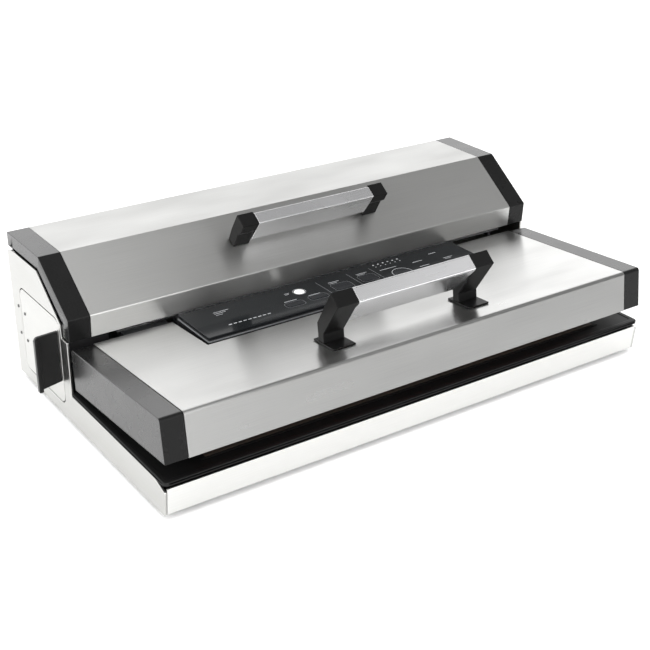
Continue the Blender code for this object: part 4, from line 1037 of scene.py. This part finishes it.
# ------------------------------------------------------------------ rear lid
@dataclass
class RearLid(Assembly):
    """Steel cover, end caps and handle of the lid over the roll store."""

    body: str = "rear_lid"
    half: float = 0.2478
    cap: float = 0.0196
    top: float = 0.1345
    flat: float = 0.0690
    lip_fwd: float = 0.1215
    lip_top: float = 0.0968
    lip_foot: float = 0.0771
    lean: float = 0.0011
    back_drop: float = 0.0129
    skirt: float = 0.0120
    fold: float = 0.0016
    rim: float = 0.0005
    notch: tuple[float, float] = (0.2110, 0.2170)
    notch_drop: float = 0.0025

    def path(self) -> np.ndarray:
        """Outside of the lid from its back foot over the top to its lip, folds rounded.

        Returns:
            The path in fwd and up.
        """
        corners = [
            (0.0, self.top - self.back_drop),
            (0.0, self.top),
            (self.flat, self.top),
            (self.lip_fwd, self.lip_top),
            (self.lip_fwd - self.lean, self.lip_foot),
        ]
        return fillet(corners, [0.0, self.fold, self.fold, self.fold, 0.0], 5)

    def cover(self) -> None:
        """Folded steel cover with a notch for each hinge bracket."""
        sheet = FoldedSheet(self.path(), self.half - self.cap - GAP)
        notch = sheet.run_at(up=self.top - self.notch_drop)
        near, far = self.notch
        sheet.openings = [(-far, -near, 0.0, notch), (near, far, 0.0, notch)]
        self.add("rear_lid_sheet", sheet.surface(), "lid_steel", ["rear_lid_cover"])

    def caps(self) -> None:
        """End caps: a thin skin over the folds that steps out into a deep side skirt."""
        outside = self.path()
        shift = miter(outside, False)
        a = np.linspace(0, math.pi / 2, 4)
        drawn_in, rounded = self.rim * (1 - np.sin(a)), self.rim * (1 - np.cos(a))
        for side, word in SIDES:
            inner, outer = side * (self.half - self.cap), side * self.half
            wall = outer - side * MOULD
            depths = [inner, wall, wall, outer - side * (self.rim + SUPPORT)]
            depths += list(outer - side * drawn_in)
            outsides = [0.0] * 4 + list(rounded)
            insides = [MOULD, MOULD, self.skirt, self.skirt, *(self.skirt - rounded)]
            rings = np.stack([
                np.concatenate([outside - o * shift, (outside - i * shift)[::-1]])
                for o, i in zip(outsides, insides)
            ])
            shape = Surface().stack([rings], np.array(depths), View.SIDE)
            node = f"rear_lid_cap_{word}"
            self.add(node + "_moulding", shape, "cap_plastic", [node])

    def slope(self, along: float, out: float) -> tuple[float, float]:
        """Point over the lid's slope.

        Args:
            along: distance down the slope.
            out: distance square off it.

        Returns:
            The point's fwd and up.
        """
        run = np.array([self.lip_fwd - self.flat, self.lip_top - self.top])
        run = run / np.linalg.norm(run)
        start = np.array([self.flat, self.top])
        place = start + run * along + np.array([-run[1], run[0]]) * out
        return float(place[0]), float(place[1])

    def handle(self) -> None:
        """Grip that overhangs the slope on two brackets."""
        bracket = [
            (0.0245, 0.0), (0.0225, 0.0120), (0.0215, 0.0305), (0.0350, 0.0305),
            (0.0355, 0.0215), (0.0330, 0.0160), (0.0345, 0.0),
        ]
        grip = [
            (0.0218, 0.0311), (0.0353, 0.0311), (0.0350, 0.0290), (0.0345, 0.0050),
            (0.0320, 0.0055), (0.0260, 0.0270),
        ]
        sides = [np.array([self.slope(a, GAP + o) for a, o in rows]) for rows in (bracket, grip)]
        Handle(self.maker, self.body, self.tilt, "rear", 0.0620, 0.0160, *sides).build()

    def build(self) -> None:
        """Make the whole lid."""
        self.cover()
        self.caps()
        self.handle()
        self.maker.paints.dress_solid("rear_lid_liner", "liner_plastic")


# ------------------------------------------------------------------ front lid
@dataclass
class FrontLid(Assembly):
    """Sealing lid, drawn shut and turned a little open about its hinge."""

    body: str = "front_lid"
    tilt: Tilt = AJAR
    half: float = 0.2478
    cap: float = 0.0196
    back: float = 0.1226
    top: float = 0.0716
    front_top: float = 0.2788
    front_foot: float = 0.2813
    foot: float = 0.0347
    fold: float = 0.0030
    notch_half: float = 0.1545
    notch_front: float = 0.1840

    def cover(self) -> None:
        """Folded steel cover, cut out round the control housing."""
        corners = [(self.back, self.top), (self.front_top, self.top), (self.front_foot, self.foot)]
        path = fillet(corners, [0.0, self.fold, 0.0], 8)
        sheet = FoldedSheet(path, self.half - self.cap - GAP)
        reach = sheet.run_at(fwd=self.notch_front)
        sheet.openings = [(-self.notch_half, self.notch_half, 0.0, reach)]
        shape = sheet.surface()
        node = "front_lid_cover"
        self.add("front_lid_sheet", shape, "front_steel", [node])

    def caps(self) -> None:
        """Moulded end caps with softly rounded rims."""
        corners = [
            (self.back, self.foot), (self.back, self.top),
            (self.front_top, self.top), (self.front_foot, self.foot),
        ]
        outline = fillet(corners, [0.0006, self.fold, self.fold, 0.0006], 6)
        for side, word in SIDES:
            low, high = sorted((side * (self.half - self.cap), side * self.half))
            shape = Surface().prism([outline], View.SIDE, low, high, 0.0007, 4)
            node = f"front_lid_cap_{word}"
            self.add(node + "_moulding", shape, "cap_plastic", [node])

    def handle(self) -> None:
        """Grip that leans forward over the lid on two flanged brackets."""
        bracket = np.array([
            (0.2362, 0.0), (0.2350, 0.0165), (0.2557, 0.0480), (0.2655, 0.0385),
            (0.2435, 0.0085), (0.2440, 0.0),
        ])
        grip = np.array([
            (0.2562, 0.0485), (0.2664, 0.0388), (0.2648, 0.0362), (0.2385, 0.0110),
            (0.2364, 0.0155),
        ])
        thick = 0.0014
        over = np.array([0.0, self.top + GAP + thick / 2])
        flange = (0.2300, 0.2590, self.top + GAP, self.top + GAP + thick)
        sides = bracket + over, grip + over
        Handle(
            self.maker, self.body, self.tilt, "front", 0.0605, 0.0205, *sides, flange
        ).build()

    def build(self) -> None:
        """Make the whole lid."""
        self.cover()
        self.caps()
        self.handle()
        for node, slot in (
            ("front_lid_liner", "liner_plastic"),
            ("upper_gasket", "gasket_foam"),
            ("pressure_strip", "silicone"),
            ("front_lid_knuckle_left", "hinge_steel"),
            ("front_lid_knuckle_right", "hinge_steel"),
        ):
            self.maker.paints.dress_solid(node, slot)


# ------------------------------------------------------------------ base
# Openings in the back wall: x limits, then limits of height.
INLET_CUT = (0.165, 0.192, 0.0160, 0.0360)
VENT_WIDTH, VENT_HEIGHT = 0.015, 0.0035
VENT_CUTS = [
    (x, x + VENT_WIDTH, low, low + VENT_HEIGHT)
    for low in (0.030 + 0.010 * row for row in range(4))
    for x in (-0.150 + 0.022 * column for column in range(9))
]


@dataclass
class Base(Assembly):
    """Steel base, side walls, tray rim and feet.

    Args:
        rear: the rear lid, which the side walls stay clear of.
        door: the side door, which the left wall has an opening for.
    """

    rear: RearLid | None = None
    door: SideDoor | None = None
    half: float = 0.2493
    wall: float = 0.0022
    depth: float = 0.2802
    front_wall: float = 0.0240
    side_wall: float = 0.0265
    step_fwd: float = 0.1184
    back_wall: float = 0.1175
    foot_inset: float = 0.030
    foot_radius: float = 0.009
    foot_height: float = 0.0047
    screws_x: tuple[float, ...] = (-0.235, -0.080, 0.080, 0.235)
    screws_up: float = 0.108
    screw: float = 0.0022

    def pan(self) -> None:
        """Folded floor with its front wall and a back wall that has an inlet and vents."""
        corners = [
            (self.depth + 0.0022, self.front_wall), (self.depth, 0.0),
            (0.0012, 0.0), (0.0012, self.back_wall),
        ]
        path = fillet(corners, [0.0, 0.0012, 0.0012, 0.0], 5)
        sheet = FoldedSheet(path, self.half - self.wall - GAP)
        start = float(sheet.run()[-1]) - self.back_wall
        sheet.openings = [
            (left, right, start + low, start + high)
            for left, right, low, high in [INLET_CUT, *VENT_CUTS]
        ]
        self.add("base_folded_pan", sheet.surface(), "pan_steel", ["base_pan"])

    def wall_outline(self) -> np.ndarray:
        """Side wall's outline: low in front, stepped up under the rear lid's skirt.

        Returns:
            The outline in fwd and up.
        """
        rear = self.rear
        path = np.array([
            (0.0, rear.top - rear.back_drop), (0.0, rear.top), (rear.flat, rear.top),
            (rear.lip_fwd, rear.lip_top), (rear.lip_fwd - rear.lean, rear.lip_foot),
        ])
        under = path - (rear.skirt + 0.0016) * miter(path, False)
        ledge = rear.lip_foot - 0.0012
        corners = [
            (0.0012, 0.0), (self.depth, 0.0), (self.depth + 0.0020, 0.0215),
            (self.depth - 0.0120, self.side_wall), (self.step_fwd, self.side_wall),
            (self.step_fwd, ledge), (under[4][0] + 0.0004, ledge),
            (under[3][0] - 0.0004, under[3][1] - 0.0020), tuple(under[2]),
            (0.0170, under[1][1]), (0.0012, 0.1180),
        ]
        return fillet(corners, [0.0008, 0.0008, 0.0010, 0.0010] + [0.0004] * 7, 3)

    def walls(self) -> None:
        """Left wall with the door's opening, and the plain right wall."""
        outline = self.wall_outline()
        left = Surface().prism(
            [outline, self.door.outline(0.0)], View.SIDE, -self.half, -self.half + self.wall, 0.0005
        )
        self.add("side_wall_left", left, "base_steel", ["side_plate_left"])
        right = Surface().prism([outline], View.SIDE, self.half - self.wall, self.half, 0.0005)
        self.add("side_wall_right", right, "base_steel", ["side_plate_right"])

    def feet(self) -> None:
        """Turned rubber feet with a rounded tread and a hollow in the middle."""
        inset, radius, height = self.foot_inset, self.foot_radius, self.foot_height
        profile = [
            (0.0, 0.0), (radius - 0.0006, 0.0), (radius, 0.0006), (radius, height - 0.0012),
            (radius - 0.0004, height - 0.0004), (radius - 0.0012, height), (0.0046, height),
            (0.0040, height - 0.0006), (0.0, height - 0.0010),
        ]
        rows = [(r, -GAP - h) for r, h in profile]
        for word, fwd in (("rear", inset), ("front", self.depth - inset)):
            for side, hand in SIDES:
                node = f"foot_{word}_{hand}"
                centre = (side * (self.half - inset), fwd, 0.0)
                shape = Surface().turned(rows, centre, "up", 36)
                self.add(node + "_tread", shape, "foot_rubber", [node])

    def lip(self) -> None:
        """Soft bead along the front and sides of the tray's rim."""
        half, front, low, high = self.half - 0.0002, 0.2828, 0.0268, 0.0295
        back = self.step_fwd + 0.0006
        outer = fillet(rectangle(-half, half, back, front), [0.0, 0.0, 0.004, 0.004], 6)
        inner = fillet(
            rectangle(-half + 0.005, half - 0.005, back + 0.005, front - 0.005), 0.003, 6
        )
        shape = Surface().prism([outer, inner], View.PLAN, low, high + 0.0004, 0.0009, 4)
        self.add("tray_rim_bead", shape, "tray_plastic")

    def build(self) -> None:
        """Make the whole base."""
        self.pan()
        self.walls()
        self.feet()
        self.lip()
        for number, x in enumerate(self.screws_x):
            centre = (x, SHEET, self.screws_up)
            self.maker.screw(f"back_screw_{number}", centre, "fwd", self.screw, self.body)


# ------------------------------------------------------------------ side door
@dataclass
class SideDoor(Assembly):
    """Flush steel door with an upright black grip, over the cord store."""

    body: str = "side_door"
    back: float = 0.0195
    front: float = 0.1045
    foot: float = 0.0110
    top: float = 0.0910
    radius: float = 0.0090
    slit: float = 0.0010
    half: float = 0.2493
    reach: float = 0.0205
    grip_fwd: float = 0.1000
    leaf_depth: float = 0.0016
    hinges_up: tuple[float, ...] = (0.0680, 0.0420)
    screw: float = 0.0015

    def outline(self, grow: float) -> np.ndarray:
        """Rounded outline of the door, grown or shrunk."""
        corners = rectangle(self.back - grow, self.front + grow, self.foot - grow, self.top + grow)
        return fillet(corners, self.radius + grow, 7)

    def leaf(self) -> None:
        """The door itself."""
        outline, outer = self.outline(-self.slit), -self.half
        shape = Surface().prism([outline], View.SIDE, outer, outer + self.leaf_depth, 0.0004)
        self.add("side_door_leaf", shape, "door_steel", ["side_door"])

    def grip(self) -> None:
        """Upright plate with a thicker bead along its outer edge."""
        outer = -self.half
        plate = [
            (outer - GAP, 0.0800), (outer - GAP, 0.0335),
            (outer - self.reach, 0.0300), (outer - self.reach, 0.0790),
        ]
        outline = fillet(plate, [0.0, 0.0, 0.0012, 0.0030], 4)
        low, high = self.grip_fwd - 0.0016, self.grip_fwd + 0.0016
        shape = Surface().prism([outline], View.FRONT, low, high, 0.0006)
        end = outer - self.reach
        bead = fillet(rectangle(end - 0.0003, end + 0.0035, 0.0280, 0.0765), 0.0010, 3)
        shape.prism([bead], View.FRONT, self.grip_fwd - 0.0024, self.grip_fwd + 0.0024, 0.0008)
        self.add("side_door_handle", shape, "grip_plastic", ["side_door_grip"])

    def build(self) -> None:
        """Make the door, its grip and the screws of its two hinges."""
        self.leaf()
        self.grip()
        for number, up in enumerate(self.hinges_up):
            wall = (-self.half, self.back - 0.0055, up + 0.0012)
            leaf = (-self.half, self.back + 0.0085, up - 0.0012)
            self.maker.screw(f"door_hinge_screw_{number}", wall, "x", self.screw, "base")
            self.maker.screw(f"door_leaf_screw_{number}", leaf, "x", self.screw, self.body)


# ------------------------------------------------------------------ control panel
# The panel's plain printed bars: left end, fwd, width and height.
PRINTED_BARS = [
    (-0.1235, 0.1372, 0.0150, 0.0005), (-0.1235, 0.1398, 0.0110, 0.0005),
    (-0.1235, 0.1428, 0.0065, 0.0005), (-0.0520, 0.1385, 0.0050, 0.0006),
    (-0.0520, 0.1405, 0.0034, 0.0006), (-0.0610, 0.1528, 0.0130, 0.0006),
    (-0.0355, 0.1528, 0.0120, 0.0006), (-0.0060, 0.1400, 0.0115, 0.0006),
    (-0.0060, 0.1424, 0.0080, 0.0005), (0.0260, 0.1385, 0.0120, 0.0006),
    (0.0260, 0.1408, 0.0085, 0.0005), (0.0500, 0.1428, 0.0190, 0.0006),
    (0.0870, 0.1448, 0.0110, 0.0006), (0.0870, 0.1560, 0.0110, 0.0006),
    (0.1120, 0.1370, 0.0085, 0.0006), (0.1180, 0.1520, 0.0105, 0.0006),
    (0.1180, 0.1545, 0.0070, 0.0005),
]


@dataclass
class ControlPanel(Assembly):
    """Level housing between the lid's legs, with its glossy plate, keys and print."""

    half: float = 0.1505
    back: float = 0.1235
    front: float = 0.1780
    top: float = 0.0776
    plate: float = 0.0020
    keys: dict[str, tuple[float, float, float, float]] = field(
        default_factory=lambda: {
            "program_key": (-0.0545, 0.1605, 0.0170, 0.0075),
            "seal_key": (-0.0290, 0.1590, 0.0170, 0.0075),
            "vacuum_key": (0.0020, 0.1520, 0.0180, 0.0120),
            "pulse_key": (0.0320, 0.1500, 0.0160, 0.0120),
        }
    )
    start: tuple[float, float, float] = (-0.0375, 0.1410, 0.0048)
    mode: tuple[float, float, float] = (0.0655, 0.1580, 0.0090)

    def key_loop(self, key: str, grow: float) -> np.ndarray:
        """Rounded plan outline of an oblong key.

        Args:
            key: the key.
            grow: how far the outline is grown.

        Returns:
            The outline in x and fwd.
        """
        x, fwd, width, depth = self.keys[key]
        w, d = width / 2 + grow, depth / 2 + grow
        return fillet(rectangle(x - w, x + w, fwd - d, fwd + d), 0.0020 + grow, 4)

    def fascia(self) -> None:
        """Glossy plate with an opening for each key, over a thin edge strip."""
        half = self.half - 0.0006
        outline = fillet(rectangle(-half, half, self.back, self.front - 0.0010), 0.0015, 4)
        holes = [self.key_loop(key, GAP) for key in self.keys]
        holes += [circle(x, fwd, r + GAP) for x, fwd, r in (self.start, self.mode)]
        under = self.top - self.plate
        shape = Surface().prism([outline, *holes], View.PLAN, under, self.top, 0.0003)
        self.add("panel_plate", shape, "panel_gloss", ["panel_overlay"])
        out, low = 0.0003, self.top - self.plate - 0.0022
        reach, inner = self.half + out, half - 0.0004
        outside = rectangle(-reach, reach, self.back - out, self.front + out)
        inside = rectangle(-inner, inner, self.back + 0.001, self.front - 0.0016)
        edge = [fillet(outside, 0.0018, 4), fillet(inside, 0.0012, 4)]
        strip = Surface().prism(edge, View.PLAN, low, low + 0.0012, 0.0003)
        self.add("panel_edge_strip", strip, "print_dim")

    def caps(self) -> None:
        """Oblong keys, the round mode key and the white start key."""
        low, high = self.top - self.plate - 0.0030, self.top + 0.0003
        for key in self.keys:
            shape = Surface().prism([self.key_loop(key, 0.0)], View.PLAN, low, high, 0.0003)
            self.maker.piece(key + "_cap", shape, "key_gloss", key, [key])
        for key, (x, fwd, r), slot, crown in (
            ("start_key", self.start, "key_white", 0.0004),
            ("mode_key", self.mode, "key_gloss", 0.0),
        ):
            a, round_off = np.linspace(math.pi / 2, 0, 7), 0.0005
            rim = np.stack([r - round_off * (1 - np.sin(a)), high - round_off * (1 - np.cos(a))])
            t = np.linspace(1, 0, 6)[1:]
            dome = np.stack([(r - round_off) * t, high + crown * (1 - t * t)])
            profile = np.concatenate([[[0.0, low], [r, low]], rim.T, dome.T])
            shape = Surface().turned(profile, (x, fwd, 0.0), "up", 48)
            self.maker.piece(key + "_cap", shape, slot, key, [key])

    def print_marks(self) -> None:
        """Generic printed bars, dots, rings and dividers, a hair over the plate."""
        low, high = self.top + 0.00001, self.top + 0.00006
        printed = {"panel_print_marks": [], "panel_print_outlines": []}
        pale, dim = printed.values()
        pale += [[rectangle(x, x + width, fwd, fwd + tall)] for x, fwd, width, tall in PRINTED_BARS]
        for k in range(9):
            pale.append([rectangle(-0.1235 + 0.0048 * k, -0.1205 + 0.0048 * k, 0.1640, 0.1650)])
        dim += [[rectangle(x, x + 0.0004, 0.1330, 0.1680)] for x in (-0.0150, 0.0190, 0.0440)]
        for k in range(6):
            for fwd, reach in ((0.1300, 0.0009), (0.1345, 0.0006)):
                pale.append([circle(0.0520 + 0.0056 * k, fwd, reach, 12)])
        dim += [[self.key_loop(key, 0.0012), self.key_loop(key, 0.0009)] for key in self.keys]
        for x, fwd, r in (self.start, self.mode):
            pale.append([circle(x, fwd, r + 0.0012), circle(x, fwd, r + 0.0008)])
        for (name, marks), slot in zip(printed.items(), ("print_pale", "print_dim")):
            shape = Surface()
            for loops in marks:
                shape.prism(loops, View.PLAN, low, high, 0.00001, 1)
            self.add(name, shape, slot)

    def build(self) -> None:
        """Make the panel and dress the housing under it."""
        self.fascia()
        self.caps()
        self.print_marks()
        self.maker.paints.dress_solid("control_housing", "housing_plastic")


# ------------------------------------------------------------------ what stays a solid
INSIDE = {
    "chamber_tray": "tray_plastic",
    "lower_gasket": "gasket_foam",
    "heater_bar": "tray_plastic",
    "heating_strip": "heater_tape",
    "roll_trough": "trough_plastic",
    "cutter_rail": "rail_aluminium",
    "cutter_slider": "cutter_plastic",
    "cutter_blade": "blade_steel",
    "control_board": "board_green",
    "power_board": "board_green",
    "transformer": "transformer_core",
    "vacuum_pump_left": "pump_metal",
    "vacuum_pump_right": "pump_metal",
    "release_valve": "valve_white",
    "vacuum_hose": "hose_clear",
    "mains_inlet": "inlet_plastic",
    "cord_store": "trough_plastic",
    **{
        f"{lid}_hinge_{part}_{word}": "hinge_steel"
        for lid in ("rear", "front")
        for part in ("bracket", "pin")
        for _, word in SIDES
    },
}


# ------------------------------------------------------------------ studio
DIM_GROUND = 0.30                       # strength of the surround outside its bright fields
# Bright fields of the surround: strength, then (axis, value where dark, value where bright).
SURROUND = [
    (1.55, [("Y", 0.10, 0.35), ("Z", 0.66, 0.50)]),
    (0.58, [("X", 0.44, 0.37), ("Z", 0.30, 0.60)]),
    (0.70, [("Y", 0.0, -0.30), ("Z", 0.55, 0.62), ("Z", 0.82, 0.74)]),
    (3.20, [("X", 0.46, 0.37), ("Y", 0.10, -0.20), ("Z", 0.60, 0.50)]),
    (0.50, [("X", -0.10, -0.50)]),
]


@dataclass
class Studio:
    """Pale floor, soft lights and the camera.

    Args:
        eye: the camera's place.
        yaw: its turn from +Y towards +X, in radians, negative to the right.
        pitch: how far it looks down.
        roll: its turn about its own line of sight.
        lens: focal length in millimetres for a sensor 36 mm wide.
    """

    eye: tuple[float, float, float] = (-0.57039, -0.82745, 0.53318)
    yaw: float = -0.60397
    pitch: float = 0.45420
    roll: float = 0.0068527
    lens: float = 67.83

    def camera(self) -> None:
        """Place the camera; its axes are right, up and back of the line of sight."""
        ahead = Vector((
            -math.sin(self.yaw) * math.cos(self.pitch),
            math.cos(self.yaw) * math.cos(self.pitch),
            -math.sin(self.pitch),
        ))
        right = ahead.cross(Vector((0, 0, 1))).normalized()
        above = right.cross(ahead)
        cos, sin = math.cos(self.roll), math.sin(self.roll)
        right, above = right * cos + above * sin, above * cos - right * sin
        data = bpy.data.cameras.new("view")
        data.lens = self.lens
        data.sensor_width = 36.0
        data.clip_start = 0.02
        data.clip_end = 60.0
        camera = bpy.data.objects.new("view", data)
        turn = Matrix((right, above, -ahead)).transposed().to_4x4()
        camera.matrix_world = Matrix.Translation(self.eye) @ turn
        bpy.context.scene.collection.objects.link(camera)
        bpy.context.scene.camera = camera

    def floor(self) -> None:
        """Broad pale floor."""
        mesh = bpy.data.meshes.new("floor")
        corners = [(*corner, 0.0) for corner in rectangle(-6.0, 6.0, -6.0, 6.0)]
        mesh.from_pydata(corners, [], [(0, 1, 2, 3)])
        floor = bpy.data.objects.new("floor", mesh)
        bpy.context.scene.collection.objects.link(floor)
        nodes = Nodes("floor_paper")
        cloud = nodes.noise((1.5, 1.5, 1.5), 2.0)
        nodes.put({
            "Roughness": 0.9,
            "Specular IOR Level": 0.1,
            "Base Color": nodes.blend(cloud, grey(1.0), 0.90, 0.92),
        })
        mesh.materials.append(nodes.material)

    def sky(self) -> None:
        """Surround of soft bright fields on a dim ground, by the direction looked in.

        A field's strength is the product of a smooth step at each of its edges, and each
        edge is a value of x, y or z of the direction.
        """
        world = bpy.data.worlds.new("surround")
        bpy.context.scene.world = world
        world.use_nodes = True
        graph = Graph(world.node_tree)
        place = graph.new("TexCoord").outputs["Generated"]
        split = graph.new("SeparateXYZ", {"Vector": place})
        fields = []
        for strength, edges in SURROUND:
            steps = [graph.ranged(split.outputs[axis], ends) for axis, *ends in edges]
            fields.append(reduce(partial(graph.math, "MULTIPLY"), [*steps, strength]))
        background = graph.tree.nodes["Background"].inputs
        total = reduce(partial(graph.math, "ADD"), [*fields, DIM_GROUND])
        graph.feed(background["Strength"], total)
        graph.feed(background["Color"], (1.0, 1.0, 1.0, 1.0))

    def lamp(self, name: str, at: tuple, towards: tuple, size: float, power: float) -> None:
        """Square soft lamp, which lights but isn't mirrored.

        Args:
            name: its name.
            at: its place.
            towards: the point that it faces.
            size: length of its side.
            power: its power in watts.
        """
        data = bpy.data.lights.new(name, "AREA")
        data.size = size
        data.energy = power
        lamp = bpy.data.objects.new(name, data)
        lamp.location = at
        lamp.rotation_mode = "QUATERNION"
        lamp.rotation_quaternion = (Vector(towards) - Vector(at)).to_track_quat("-Z", "Y")
        lamp.visible_glossy = False
        bpy.context.scene.collection.objects.link(lamp)

    def build(self) -> None:
        """Set up the whole studio."""
        bpy.context.scene.view_settings.view_transform = "Standard"
        self.camera()
        self.floor()
        self.sky()
        self.lamp("overhead", (0.0, 0.2, 3.0), (0.0, 0.2, 0.0), 3.0, 60.0)


def main() -> None:
    """Load the frame, build every sub-assembly in order and light it."""
    logging.basicConfig(level=logging.INFO, format="%(name)s %(message)s")
    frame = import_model()
    maker = Maker(Machine.from_frame(), Paintbox(frame["nodes"]))
    rear = RearLid(maker)
    door = SideDoor(maker)
    Studio().build()
    base = Base(maker, rear=rear, door=door)
    for assembly in (rear, FrontLid(maker), base, door, ControlPanel(maker)):
        assembly.build()
    for node, slot in INSIDE.items():
        maker.paints.dress_solid(node, slot)


if __name__ == "__main__":
    main()
